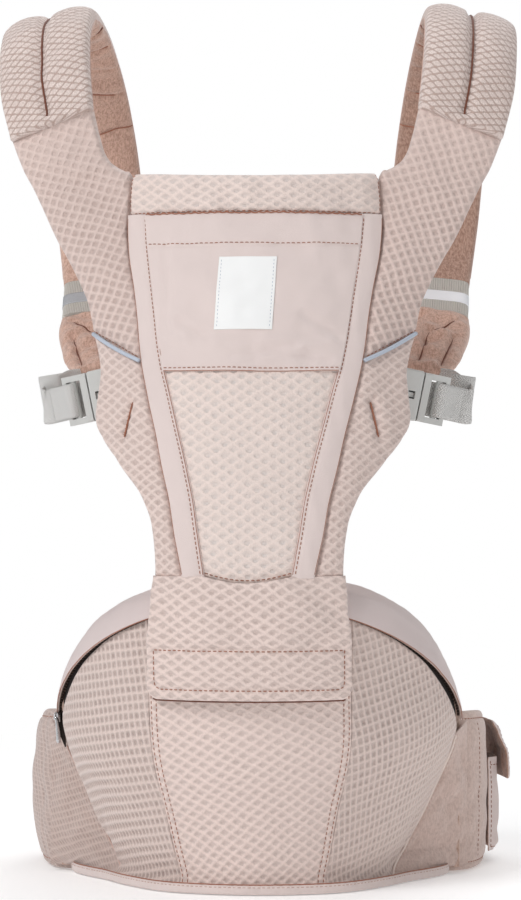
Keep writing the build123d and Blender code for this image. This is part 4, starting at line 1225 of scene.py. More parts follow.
def make_zip_chain():
    """Tape in the slot under the lid, painted near black as the slot's shade, and the teeth."""
    def surface(s, t):
        phi = (2 * s - 1) * PHI_END * 0.995
        z = zip_z(phi) - 3.4 - zip_gap(phi) + (zip_gap(phi) + 5.0) * t
        return wall(phi, z, 1.4)

    sheet = Sheet(surface, 440, 9, edge=0.3, res=1.6)
    fit(sheet.build("zip_tape", 1.4, "dark_tape"), "seat", "smooth_fabric")
    verts, faces = [], []
    end = math.radians(84.5)
    for i, phi in enumerate(np.linspace(-end, end, 250)):
        centre = wall(phi, zip_z(phi) - 0.6, -0.6)
        normal = np.array([math.sin(phi), -math.cos(phi), 0])
        along = unit(wall(phi + 0.01, zip_z(phi + 0.01)) - wall(phi - 0.01, zip_z(phi - 0.01)))
        across = np.cross(normal, along)
        shift = 0.45 if i % 2 else -0.45       # teeth alternate about the chain's line
        base = len(verts)
        for a, b, c in BOX_CORNERS:
            verts.append(centre + along * 0.55 * a + across * (1.25 * b + shift)
                         + normal * (0.9 * c + 0.1))
        faces += [[base + corner for corner in face] for face in BOX_FACES]
    obj = add_mesh("zip_teeth", verts, faces, None, ("zip_teeth",), smooth=False)
    add_bevel(obj, width=0.18, segments=1)
    fit(obj, "seat", "metal", "seat_zip_chain")


def make_block(name, centre, axes, half_sizes, replaced=(), bevel=0.5):
    verts = [centre + sum(axis * half * sign
                          for axis, half, sign in zip(axes, half_sizes, corner))
             for corner in BOX_CORNERS]
    faces = [list(face[::-1]) for face in BOX_FACES]
    obj = add_mesh(name, verts, faces, None, ("chrome",), smooth=False)
    add_bevel(obj, bevel, segments=3)
    fit(obj, "zip_slider", "metal", *replaced)


def make_zip_slider():
    """Slider and pull at the lower left end of the zip."""
    centre = np.array([-146.6, 24.4, 114.4])
    normal = unit(np.array([-0.93, -0.36, 0.0]))
    along = unit(np.array([0.06, -0.10, 1.0]))
    axes = (along, np.cross(normal, along), normal)
    make_block("zip_slider_body", centre, axes, (3.4, 2.7, 1.5), ("zip_slider",))
    make_block("zip_slider_bridge", centre + normal * 2.1 + along * 0.5, axes,
               (2.6, 0.9, 0.9), bevel=0.3)
    # flattened near-black cord in the gap at the zip's end: painted shade of the open gap
    fraction = np.linspace(0, 1, 20)
    gap = spline([(-145.0, 26.0, 118.5), (-144.4, 25.2, 110), (-143.0, 24.6, 101),
                  (-141.0, 24.2, 92.5)], fraction)
    cord("zip_end_gap_shade", gap, np.interp(fraction, [0, 0.5, 1], [2.6, 2.8, 0.5]), "seat",
         "dark_tape", sides=10, up=np.array([0, 1.0, 0.0]), flat=0.35)
    fraction = np.linspace(0, 1, 24)
    pull = spline([(-147.6, 22.2, 115.2), (-147.0, 21.8, 111.5), (-146.5, 21.7, 106.5),
                   (-146.1, 21.6, 101.0), (-145.8, 21.6, 95.6)], fraction)
    radius = np.interp(fraction, [0, 0.06, 0.2, 0.5, 0.92, 1.0], [0.8, 1.6, 1.45, 1.6, 1.8, 1.1])
    cord("zip_pull_bar", pull, radius, "zip_pull", "chrome", "metal", sides=12,
         replaced=("zip_pull",), up=np.array([0.35, -0.93, 0.0]), flat=0.6)


def make_lid():
    """Hem over the zip, rolled rim, then the arched top that carries the child."""
    roll = 0.3      # the part of t that the hem and rim take

    def surface(s, t):
        phi = (2 * s - 1) * PHI_END
        zip_height, top = zip_z(phi), lid_z(phi)
        start = wall(phi, zip_height - 2.2, -3.9)
        x = lid_x(phi)
        y = wall(phi, zip_height)[..., 1]
        y = np.minimum(y + 9.0 * np.cos(phi), SEAT_BACK_Y - 12)
        rise = np.maximum(top - zip_height, 3.0)
        f = np.clip(t / roll, 0, 1)[..., None]
        second = start + xyz((x - start[..., 0]) * 0.15, 0 * rise, rise * 0.62)
        third = xyz(x, y - 7.0 * np.cos(phi), top - rise * 0.03)
        edge = xyz(x, y + 3.0, top)
        rim = (start * (1 - f) ** 3 + 3 * second * f * (1 - f) ** 2
               + 3 * third * f**2 * (1 - f) + edge * f**3)
        f = np.clip((t - roll) / 0.7, 0, 1)[..., None]
        back = xyz(x, 0 * rise + 45.6, top)
        return np.where(t[..., None] < roll, rim, edge + (back - edge) * f)

    def lid_uv(sheet):
        first = sheet.from_s0[0]
        return np.broadcast_to(first - first.mean(), sheet.s.shape), sheet.from_t0

    sheet = Sheet(surface, 440, 100, edge=0.9, res=1.5, uv=lid_uv)
    sheet.height = (0.45 * wavy(sheet.x, sheet.points[..., 1], 52, 91)
                    * ease(4, 20, sheet.from_t0) + 0.15 * wavy(sheet.u, sheet.v, 22, 92))
    obj = sheet.build("seat_lid_cloth", 1.9, "smooth_lid", "jersey")
    fit(obj, "seat", "smooth_fabric", "seat_lid_cover")
    cord("lid_hem_thread", sheet.at(np.linspace(0.004, 0.996, 260), 0.002)[0], 0.42, "seat")


def make_hem_binding():
    """Binding round the lower front edge."""
    rim = spline(HEM_LINE, np.linspace(0.004, 0.996, 260))
    tangent = unit(np.gradient(rim, axis=0))
    out = np.stack([tangent[:, 1], -tangent[:, 0], 0 * tangent[:, 0]], -1)
    up = np.array([0, 0, 1.0])
    centre = rim + out * 2.7 + up * 3.7
    section_out, section_z = superellipse(np.arange(14) * 2 * np.pi / 14, 0.8, 0.7)
    section_out, section_z = 1.9 * section_out, 3.5 * section_z
    run = lengths(centre)
    pucker = 0.18 * np.sin(run * 2 * np.pi / 7.0) + 0.15 * np.sin(run * 2 * np.pi / 3.1)
    outward = section_out + pucker[:, None] * (section_out > 0)
    verts = centre[:, None] + out[:, None] * outward[..., None] + up * section_z[None, :, None]
    obj = add_loft("seat_hem_binding_tape", verts, run[:, None], section_z * 1.2, "smooth",
                   turned=True)
    fit(obj, "seat", "smooth_fabric", "seat_hem_binding")
    stitch("seat", (centre + out * 1.75 + up * 1.7, out),
           length=2.4, gap=1.0, radius=0.3, material="thread_pink")
    cord("hem_seam_thread", centre + out * 1.0 + up * 3.5, 0.45, "seat")


def make_belly_pad():
    """Quilted pad on the wearer's side."""
    width = 277
    channels = (-92, -46, 0, 46, 92)

    def surface(s, t):
        x = (2 * s - 1) * width / 2
        top = 110.5 + 82 * np.sqrt(np.maximum(1 - (np.abs(x) / 140.0) ** 2.8, 0))
        crown = (4.0 * np.cos(x / (width / 2) * np.pi / 2)
                 * np.sin(np.pi * np.minimum(t * 0.8 + 0.1, 1)))
        return xyz(x, 57.0 + crown, t * top + 0.4)

    sheet = Sheet(surface, width, 190, edge=4.5, res=2.0, uv=flat_uv, flip=True)
    x, z = sheet.x, sheet.z
    sheet.height = (0.9 * wavy(x, z, 60, 101) * ease(2, 14, sheet.rim)
                    + 0.3 * wavy(x, z, 26, 102))
    for channel in channels:
        sheet.height = sheet.height - 2.0 * bell(x - channel, 2.2) * ease(6, 14, sheet.rim)
    obj = sheet.build("seat_belly_pad", 10.6, "jersey", "knit_belt")
    fit(obj, "seat", "mesh_fabric", "seat_back_pad")
    for channel in channels:
        stitch("seat", sheet.at(0.5 + channel / width, np.linspace(0.08, 0.92, 90), 0.1))
    for inset in (-5, 5):
        stitch("seat", sheet.along_s(inset, (0.04, 0.96, 120), 0.1))


def make_seat_back():
    """Fabric that closes the back of the seat over the foam."""
    phi = np.radians(np.linspace(-86, 86, 200))

    def surface(s, t):
        x = (2 * s - 1) * 146.0
        top = np.interp(x, lid_x(phi), lid_z(phi)) - 1.6
        return xyz(x, 45.6, 4.0 + (top - 4.0) * t)

    sheet = Sheet(surface, 292, 200, edge=0.6, res=2.2, uv=flat_uv, flip=True)
    obj = sheet.build("seat_back_cloth", 1.2, "smooth_lid", "jersey")
    fit(obj, "seat", "smooth_fabric", "seat_foam_core")


# run from the seat, height, to the same at the other end, depth, width
GUSSET_CREASES = (
    (8, 96, 40, 60, 1.3, 5), (4, 70, 34, 34, 1.2, 5), (10, 30, 46, 14, 1.4, 5),
    (40, 100, 54, 66, 1.0, 4))


def make_gusset(side, mirrored):
    """Fabric that joins the seat's side to the waistbelt."""
    end_x, end_y = (155.0, 49.0) if mirrored else (151.8, 50.6)
    start_x, start_y = 101.8, -12.6

    def surface(s, t):
        top = 93.5 + 18.5 * s ** 0.7 if mirrored else 103.0 + 9.0 * s
        z = 4.4 + (top - 4.4) * t
        phi = np.radians(85.0 - 15.0 * np.clip(1 - z / 75.0, 0, 1) ** 1.3
                         - 12.0 * np.clip(1 - z / 20.0, 0, 1))
        inset = -0.9 + 1.6 * np.clip(1 - z / 60.0, 0, 1) + 1.5 * bell(z - 31.0, 12.0)
        seat = flared(phi, z, inset)
        belt = xyz(end_x, end_y, z)
        upper = seat * (1 - s)[..., None] + belt * s[..., None]
        # below, it spreads to the hem line
        stops = [0, 0.12, 0.35, 0.62, 0.76, 1.0]
        hem_x = np.interp(s, stops, [start_x, 110.0, 123.5, 134.5, 139.5, end_x])
        hem_y = np.interp(s, stops, [start_y, 0.5, 17.5, 39.0, 44.0, end_y])
        lower = xyz(hem_x, hem_y, z)
        lower = lower + (seat - xyz(start_x, start_y, z)) * ((1 - s) ** 2)[..., None]
        low = (np.clip(1 - (z - 4.0) / 17.0, 0, 1) ** 2.2)[..., None]
        sag = 2.2 * np.sin(np.pi * s) * np.sin(np.pi * t)
        return upper * (1 - low) + lower * low - xyz(-0.55 * sag, 0.83 * sag, 0 * sag)

    sheet = Sheet(surface, 62, 108, edge=0.7, mirror=mirrored)
    run, climb = sheet.from_s0, sheet.from_t0
    sheet.u, sheet.v = run, sheet.z
    sheet.height = 0.7 * wavy(run, climb, 30, 191 + mirrored) * ease(0, 8, sheet.rim)
    sheet.crease(run, climb, GUSSET_CREASES, ease(0, 6, sheet.rim))
    if mirrored:
        sheet.height = sheet.height + 0.3 * relief("belt", sheet.u, sheet.v)
    fabric = "mesh_belt" if mirrored else "knit_belt"
    obj = sheet.build("seat_to_belt_gusset_" + side, 1.4, fabric, "jersey")
    if mirrored:
        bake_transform(obj)
    else:
        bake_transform(obj)
    span = (0.01, 0.99, 90)
    radius, material = (0.5, "thread_pink") if mirrored else (0.85, "piping_light")
    cord("gusset_piping_" + side, sheet.at(0.004, np.linspace(*span), 0.5)[0], radius, "seat",
         material, sides=8)
    if not mirrored:
        stitch("seat", sheet.along_t(3.2, span, 0.1),
               length=2.2, gap=1.4, radius=0.28, material="thread_pink")


def make_loop_tape():
    def surface(s, t):
        return wall(-0.405 + 0.81 * s, 139.5 + 43 * t, -1.6)

    sheet = Sheet(surface, 122, 43, edge=0.5)
    sheet.height = (0.25 * wavy(sheet.u, sheet.v, 2.2, 111)
                    + 0.1 * wavy(sheet.u, sheet.v, 14, 112))
    fit(sheet.build("seat_loop_tape_cloth", 1.0, "hook"), "seat", "tape", "seat_loop_tape")


def repaint(obj, material):
    obj.data.materials.clear()
    obj.data.materials.append(MATERIALS[material])


def make_seat():
    make_front_cover()
    make_side_covers()
    make_zip_chain()
    make_zip_slider()
    make_lid()
    make_hem_binding()
    make_belly_pad()
    make_seat_back()
    for side, mirrored in SIDES:
        make_gusset(side, mirrored)
    repaint(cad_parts["seat_base_panel"], "base_board")
    make_loop_tape()


# ------------------------------------------------------------------ closing flap
# (z, value) rows: y of the flap's middle, and its half width
flap_y = profile([
    (130, -128.6), (137, -129.4), (150, -133.0), (165, -136.8), (180, -139.8), (195, -141.4),
    (208, -141.4), (216, -139.6), (223, -137.0), (230, -136.0)], 3)
flap_half_width = profile([
    (135, 70.4), (172, 70.9), (173, 70.9), (185, 69.6), (205, 67.5), (224, 66.0), (230, 66)], 2)
FLAP_SEAM_Z = 172.6
# x, z of the stitched outline on the flap's lower part
FLAP_SEAM = [
    (-65.4, FLAP_SEAM_Z), (65.4, FLAP_SEAM_Z), (65.4, 150.5), (64.4, 147.2), (61, 145.6),
    (-61, 145.6), (-64.4, 147.2), (-65.4, 150.5), (-65.4, FLAP_SEAM_Z)]
# x0, z0, x1, z1, depth, width
FLAP_CREASES = (
    (-60, 196, -48, 176, 1.2, 5), (-66, 188, -54, 205, 0.9, 4), (44, 176, 60, 190, 1.1, 5),
    (-20, 176, -6, 190, 0.7, 6), (52, 205, 64, 196, 0.8, 4), (-34, 175, -10, 174.5, 0.8, 3))


def flap_face(x, z):
    return flap_y(z) + 22.0 * (np.abs(x) / 70.0) ** 2.2


def flap_ends(side):
    """Lower and upper z at side = -1..1 across the flap."""
    low = 138.0 + 6.5 * np.clip((np.abs(side) - 0.90) / 0.10, 0, 1) ** 2.4
    high = 223.6 - 4.4 * np.clip(1 - (side * 68 / 31.0) ** 2, 0, 1)
    return low, high


def make_flap():
    def surface(s, t):
        side = 2 * s - 1
        low, high = flap_ends(side)
        z = low + (high - low) * t
        x = side * flap_half_width(z)
        return xyz(x, flap_face(x, z), z)

    sheet = Sheet(surface, 140, 85, edge=2.35, res=0.8, uv=flat_uv, narrow_t=(1.0, 2.4))
    x, z = sheet.x, sheet.z
    seam = line_distance(x, z, FLAP_SEAM)
    sheet.drift(0.7, 30, 361)
    sheet.height = (0.85 * relief("rhomb", sheet.u, sheet.v) * ease(0.8, 3.2, seam)
                    * ease(0.6, 3.4, sheet.rim) + 0.9 * puff(seam, 5.0) - 0.5)
    sheet.height = sheet.height + (0.9 * wavy(x, z, 32, 121) * ease(FLAP_SEAM_Z, 182, z)
                                   + 0.7 * ease(FLAP_SEAM_Z, 178, z))
    sheet.crease(x, z, FLAP_CREASES)
    sheet.height = sheet.height + 0.8 * bell(sheet.from_t0 - 4.5, 3.0)
    obj = sheet.build("seat_flap_pad", 4.8, "mesh_rhomb", "jersey")
    fit(obj, "seat_flap", "mesh_fabric", "seat_flap")
    outline = []
    for (x0, z0), (x1, z1) in zip(FLAP_SEAM[:-1], FLAP_SEAM[1:]):
        count = max(int(math.hypot(x1 - x0, z1 - z0)), 2)
        outline += [(x0 + (x1 - x0) * i / count, z0 + (z1 - z0) * i / count)
                    for i in range(count)]
    x, z = np.array(outline + [FLAP_SEAM[-1]]).T
    side = x / flap_half_width(z)
    low, high = flap_ends(side)
    t = np.clip((z - low) / (high - low), 0.001, 0.999)
    stitch("seat_flap", sheet.at((side + 1) / 2, t, 0.15), length=2.5, gap=1.2, radius=0.36)
    # dark cord just behind the flap's lower edge: painted contact shadow under the flap, in a dark
    # thread colour
    cols = (np.linspace(0.01, 0.99, 120) * (sheet.s.shape[1] - 1)).astype(int)
    edge = (sheet.points[0, cols] + np.array([0, 3.4, -0.25]))[4:-4]
    cord("flap_lower_edge_shadow", edge, 0.6, "seat_flap", "thread_dark")


def make_hook_tape():
    def surface(s, t):
        z = 143.5 + 23 * t
        x = (2 * s - 1) * (flap_half_width(z) - 9)
        return xyz(x, flap_face(x, z) + 5.3, z)

    sheet = Sheet(surface, 122, 23, edge=0.4, res=1.2, flip=True)
    sheet.height = (0.2 * np.sin(sheet.u * 2 * np.pi / 2.4)
                    * np.sin(sheet.v * 2 * np.pi / 2.4))
    obj = sheet.build("flap_hook_tape_strip", 0.9, "hook")
    fit(obj, "seat_flap", "tape", "flap_hook_tape")


# ------------------------------------------------------------------ waistbelt
# x, y along the belt wing's outer and inner faces, from the seat to the tip
BELT_OUTER = [(133.5, 47.6), (143, 48.6), (155, 60), (163, 80), (166, 108), (163, 142),
              (151, 177), (130, 206), (104, 226)]
BELT_INNER = [(132.0, 57.5), (140, 62), (147, 70), (151, 86), (152.5, 108), (149.5, 138),
              (139, 168), (120, 193), (97, 211)]
# run, offset from the middle, to the same at the other end, depth, width
BELT_CREASES = {
    "right": ((14, 44, 34, 20, 1.3, 5), (10, 20, 30, 2, 1.1, 5), (8, -6, 28, -30, 0.9, 5),
              (22, 48, 44, 30, 0.9, 4)),
    "left": ((20, 40, 34, 20, 1.2, 5), (24, 10, 40, -6, 0.9, 5), (18, -20, 36, -38, 0.9, 5)),
}
BELT_SEAM = 5.5     # edge seam's distance from the belt's edges


def make_belt_wing(side, mirrored):
    stations, around = int(150 / RES * 1.6), int(130 / RES * 1.4)
    fraction = np.linspace(0, 1, stations)
    outer = spline(on_floor(BELT_OUTER), fraction)
    inner = spline(on_floor(BELT_INNER), fraction)
    middle = (outer + inner) / 2
    run = np.clip((fraction - 0.05) / 0.95, 0, 1)
    top, bottom = middle.copy(), middle.copy()
    top[:, 2] = 117.0 - 20 * run ** 1.5 - 7 * np.maximum(run - 0.75, 0) / 0.25
    bottom[:, 2] = 14 * np.maximum(run - 0.72, 0) / 0.28 + 0.3
    tube = Tube(top, bottom, stations, around)
    # sections stand upright at the stations themselves; only the lengths are kept
    tube.centre, tube.width = (top + bottom) / 2, top[:, 2] - bottom[:, 2]
    tube.across = unit(bottom - top)
    tube.along = unit(np.gradient(middle, axis=0))
    tube.normal = unit(np.cross(tube.across, tube.along))
    section_x, section_y = superellipse(tube.angle, 0.75, 0.45)
    half = tube.width[:, None] / 2
    x = half * section_x
    thick = np.linalg.norm(outer - inner, axis=1)[:, None]
    bulge = (8.0 if mirrored else 1.0) * np.sin(np.pi * np.minimum(run * 1.15 + 0.08, 1.0))
    y = (thick / 2 * section_y + bulge[:, None] * np.maximum(section_y, 0) ** 1.5
         * (1 - (section_x * 0.75) ** 2))
    length = tube.lengths_like(x)
    outside = section_y > 0
    outward = np.clip(section_y, 0, 1)
    # soft dents, then channels and creases on the outside
    y = y + (np.where(outside, 0.7, 0.5) * wavy(length, x, 36, 131 + mirrored)
             * np.abs(section_y) ** 0.6)
    if mirrored:
        y = y - 1.5 * bell(length - 30, 3.0) * outward
        y = y - 1.0 * bell(length - 36 - 0.10 * x, 7.0) * outward
    y = creased(y, length, x, BELT_CREASES[side], outside)
    y = y - 1.3 * bell(half - np.abs(x) - BELT_SEAM, 1.4) * outward
    body = "belt_" + side
    fabric = "mesh_belt" if mirrored else "knit_belt"
    obj = tube.build("belt_wing_" + side, x, y, (fabric, "jersey"), section_y > -0.35,
                     mirror=mirrored)
    fit(obj, body, "mesh_fabric", "belt_pad_" + side)
    scale = side_scale(mirrored)

    def on_belt(along, level, lift):
        """Outer face at along = 0..1 and level = -1 (top) .. 1 (bottom)."""
        rows = np.clip((along * (stations - 1)).astype(int), 0, stations - 1)
        cols = np.array([
            int(np.argmin(np.where(outside, abs(x[row] - f * tube.width[row] / 2), 1e9)))
            for row, f in zip(rows, level)])
        return tube.pick(rows, cols, x, y, lift) * scale, tube.normal[rows] * scale

    along = np.linspace(0.02, 0.97, 160)
    for sign in (-1, 1):
        level = sign * (1 - 2 * BELT_SEAM / np.interp(along, fraction, tube.width))
        stitch(body, on_belt(along, level, 0.1), length=2.6, gap=1.1, radius=0.34)
    if not mirrored:
        f = np.linspace(0, 1, 60)
        points, normals = on_belt(0.155 + 0 * f, -0.86 + 1.72 * f, 0.12)
        stitch(body, (smoothed(points, 10), normals), length=2.2, gap=1.4, radius=0.3)


# pouch on the right wing: the face line it follows, at 19 stations, and its flap's frame
POUCH_LINE = spline([(143, 48, 0)] + on_floor(BELT_OUTER[2:]), np.linspace(0, 1, 19))
POUCH_START, POUCH_MIDDLE, POUCH_END = 6, 9, 12
FLAP_ALONG = unit(POUCH_LINE[POUCH_MIDDLE + 1] - POUCH_LINE[POUCH_MIDDLE - 1])
FLAP_OUT = np.array([FLAP_ALONG[1], -FLAP_ALONG[0], 0])


def make_pouch():
    def line(station):
        return interp_rows(station, np.arange(19), POUCH_LINE)

    def surface(s, t):
        station = POUCH_START + (POUCH_END - POUCH_START) * s
        along = unit(line(np.clip(station + 1, 0, 18)) - line(np.clip(station - 1, 0, 18)))
        normal = np.stack([along[..., 1], -along[..., 0], 0 * along[..., 0]], -1)
        side = np.minimum(s, 1 - s) * 62
        out = 3.6 + ((6.2 + 1.2 * np.sin(np.pi * t)) * ease(0, 9, side)
                     * (0.55 + 0.45 * ease(0, 0.10, t)))
        return line(station) + normal * out[..., None] + xyz(0, 0, 7.5 + 70.5 * t)

    sheet = Sheet(surface, 64, 72, edge=1.0, res=0.9)
    run, climb = sheet.from_s0, sheet.from_t0
    sheet.height = 0.6 * wavy(run, climb, 26, 141) * ease(0, 8, sheet.rim)
    sheet.crease(run, climb, ((4, 66, 30, 40, 0.9, 4), (60, 66, 36, 44, 0.8, 4),
                              (6, 10, 24, 26, 0.7, 4)))
    obj = sheet.build("pouch_cloth", 1.5, "smooth", "jersey")
    fit(obj, "belt_right", "smooth_fabric", "pouch_body")
    for inset in (3.0, -3.0):
        stitch("belt_right", sheet.along_t(inset, (0.03, 0.97, 60), 0.1))
    for inset in (3.0, -6.0):
        stitch("belt_right", sheet.along_s(inset, (0.04, 0.96, 50), 0.1))


def make_pouch_flap():
    half = np.linalg.norm(POUCH_LINE[POUCH_END] - POUCH_LINE[POUCH_START]) / 2 + 1.5

    def surface(s, t):
        side = 2 * s - 1
        low = 61.5 + 5.5 * np.clip((np.abs(side) - 0.86) / 0.14, 0, 1) ** 2
        z = low + (104.8 - low) * t
        out = np.interp(z, [60, 62, 84, 99, 104.6, 106], [15.6, 15.4, 14.0, 9.0, 5.6, 5.2])
        out = out - 2.5 * np.abs(side) ** 3 * ease(0.25, 0.8, t) + 1.2 * (1 - side * side)
        return (POUCH_LINE[POUCH_MIDDLE] + FLAP_ALONG * (half * side)[..., None]
                + FLAP_OUT * out[..., None] + xyz(0, 0, z))

    sheet = Sheet(surface, 66, 46, edge=1.1, res=0.9)
    run, climb = sheet.from_s0, sheet.from_t0
    sheet.height = 0.7 * wavy(run, climb, 22, 151) * ease(0, 6, sheet.rim)
    sheet.crease(run, climb, ((10, 40, 16, 8, 0.9, 3.5), (30, 44, 40, 16, 0.7, 3.5),
                              (54, 42, 52, 12, 0.8, 3.5)))
    obj = sheet.build("pouch_flap_cloth", 2.3, "smooth", "jersey_dark")
    fit(obj, "pouch_flap", "smooth_fabric", "pouch_flap")
    stitch("pouch_flap", sheet.along_s(3.0, (0.05, 0.95, 50), -0.05), radius=0.26)
    for inset in (3.0, -3.0):
        stitch("pouch_flap", sheet.along_t(inset, (0.1, 0.95, 36), -0.05), radius=0.26)


# ------------------------------------------------------------------ shoulder straps
# x, y, z along the inner and outer edges of each part, from the yoke over the shoulder
STRAP_INNER = [
    (116, -28, 552), (119.5, -18, 585), (121, 5, 613), (120, 42, 627), (114, 90, 615),
    (106, 130, 581), (99, 150, 535), (95, 157, 490), (94, 153, 458), (94, 141, 437)]
STRAP_OUTER = [
    (175, -17, 530), (183, -8, 562), (186, 12, 596), (185, 48, 613), (180, 94, 604),
    (172, 132, 572), (166, 153, 528), (162, 158, 486), (158, 154, 455), (155, 142, 434)]
CUFF_INNER = [(93, 140, 435.8), (94, 128, 422), (95, 116, 410)]
CUFF_OUTER = [(155, 141, 432.8), (154.5, 129, 419), (154, 117, 407)]
END_INNER = [(95.5, 114.8, 408.8), (98, 92, 392), (102, 68, 378), (107, 50, 369)]
END_OUTER = [(154, 115.8, 405.8), (153, 95, 389), (147, 70, 375), (137, 52, 366)]
# creases across the soft inner face: length along the strap, width, depth
STRAP_CREASES = (
    (60, 2.0, 2.2), (100, 1.8, 1.9), (112, 1.5, 1.3), (129, 2.2, 2.8), (155, 1.9, 2.2),
    (182, 1.6, 1.4), (206, 1.8, 1.8), (240, 1.6, 1.6), (274, 1.7, 1.5))
# tack lines in those creases: length along the strap, and the part of the width they cover
STRAP_TACKS = (
    (60, 0.3, 1.0), (100, 0.5, 1.0), (112, 0.55, 1.0), (129, 0.02, 1.0), (155, 0.12, 0.9),
    (206, 0.25, 1.0), (240, 0.0, 0.8))
# folds of the gathered end: x, length, to the same at the other end, depth, width
END_FOLDS = (
    (-8, 70, -2, 24, 4.2, 2.4), (9, 72, 16, 30, 3.2, 2.4), (-20, 66, -22, 34, 2.8, 2.8),
    (2, 26, 18, 10, 2.2, 2.8), (-24, 20, -6, 6, 2.0, 2.8), (20, 60, 26, 40, 2.2, 2.4))


def crease_at(place, x):
    return place + 2.5 * np.sin(x / 9.0 + place)


def make_strap(side, mirrored):
    stations = int(330 / RES)
    tube = Tube(STRAP_INNER, STRAP_OUTER, stations, int(132 / RES))
    section_x, section_y = superellipse(tube.angle, 0.72, 0.52)
    half = tube.width[:, None] / 2
    x = half * section_x
    total = tube.length[-1]
    length = tube.lengths_like(x)
    up = np.clip(section_y, 0, 1) ** 0.7
    fade_out = 1 - ease(total - 46, total - 30, length)
    lobes = ease(12, 30, length) * fade_out
    valley = ease(0.0, 9.0, length) * fade_out
    y = (20.0 - 2.0 * (tube.length / total)[:, None]) / 2 * section_y
    # two padded lobes with a stitched valley between them
    y = y + up * (1.6 * np.sin(np.pi * np.clip(np.abs(x) / half, 0, 1)) * lobes
                  - 5.6 * bell(x, 3.0) * valley - 0.9 * bell(x, 10.0) * lobes)
    y = (y + up * 0.5 * (1 - relief("strap", x, length, 0.0))
         + up * 0.6 * wavy(x, length, 34, 161 + mirrored))
    down = np.clip(-section_y, 0, 1)
    for place, width, depth in STRAP_CREASES:
        offset = length - crease_at(place, x)
        y = (y + down * depth * bell(offset, width)
             - down * 0.5 * depth * bell(np.abs(offset) - 6, 4))
    y = y - down * 0.7 * wavy(x, length, 30, 171 + mirrored)
    # painted light: the left strap's lining takes the lighter jersey_end and the right strap's the
    # darker jersey_dark, the left one painted as lit and the right one as in shade
    lining = "jersey_end" if mirrored else "jersey_dark"
    obj = tube.build("shoulder_strap_" + side, x, y, ("mesh_strap", lining),
                     section_y > -0.25, mirror=mirrored, close=0.8)
    fit(obj, "panel", "mesh_fabric", "strap_pad_" + side)
    scale = side_scale(mirrored)
    # thread in the valley
    rows = np.arange(int(np.argmax(tube.length > 4)), int(np.argmax(tube.length > total - 36)), 2)
    col = int(np.argmin(np.where(section_y > 0, abs(section_x), 1e9)))
    points = tube.centre[rows] + tube.normal[rows] * (y[rows, col] + 0.35)[:, None]
    cord("strap_valley_thread_" + side, points * scale, 0.8, "panel", "thread_dark")
    # tack lines across the lining
    inner = np.where(section_y < -0.3)[0]
    inner = inner[np.argsort(section_x[inner])]
    for place, start, end in STRAP_TACKS:
        cols = inner[int(len(inner) * start):int(len(inner) * end)]
        rows = np.searchsorted(tube.length, crease_at(place, x[0, cols]))
        rows = np.clip(rows, 1, stations - 2)
        points = smoothed(tube.pick(rows, cols, x, y, -0.1), 4)
        radius, material = (0.75, "thread_dark") if place in (60, 129) else (0.5, "thread")
        cord("strap_tack_%s_%d" % (side, place), points * scale, radius, "panel", material)
    # side seams: thread where the outer fabric meets the lining
    rows = np.arange(4, stations - 4, 2)
    for sign, edge in ((-1, "in"), (1, "out")):
        lower_half = (np.sign(section_x) == sign) & (section_y < 0)
        col = int(np.argmin(np.where(lower_half, abs(section_y + 0.25), 1e9)))
        cord("strap_edge_seam_%s_%s" % (side, edge), tube.pick(rows, col, x, y) * scale, 0.4,
             "panel", "thread_pink")


def make_cuff(side, mirrored):
    """Elastic cuff and its reflective stripe."""
    tube = Tube(CUFF_INNER, CUFF_OUTER, int(40 / RES), 90)
    section_x, section_y = superellipse(tube.angle, 0.7, 0.55)
    x = tube.width[:, None] / 2 * section_x * 0.985
    total = tube.length[-1]
    pinch = 0.36 * np.cos(x / 7.0 + 1)
    bulge = 0.5 * np.sin(np.pi * tube.lengths_like(x) / total)
    y = (18.0 / 2) * section_y + pinch * section_y + bulge * section_y
    obj = tube.build("strap_cuff_elastic_" + side, x, y, ("elastic",), mirror=mirrored, close=0.5)
    fit(obj, "panel", "webbing", "strap_cuff_" + side)
    start, width = total * 0.36, 12.5
    rows = (tube.length > start) & (tube.length < start + width)
    stripe = copy.copy(tube)
    for key in ("centre", "across", "along", "normal", "length", "width"):
        setattr(stripe, key, getattr(tube, key)[rows])
    # the left stripe takes the grey copy, painted shade because the left cuff lies in shade; the
    # right one takes the lit white copy
    obj = stripe.build("strap_cuff_stripe_" + side, x[rows] * 1.012,
                       y[rows] + 0.45 * signed_power(section_y, 0.3),
                       ("reflect_shade" if mirrored else "reflect_white",),
                       mirror=mirrored, close=0.02)
    fit(obj, "panel", "reflective")


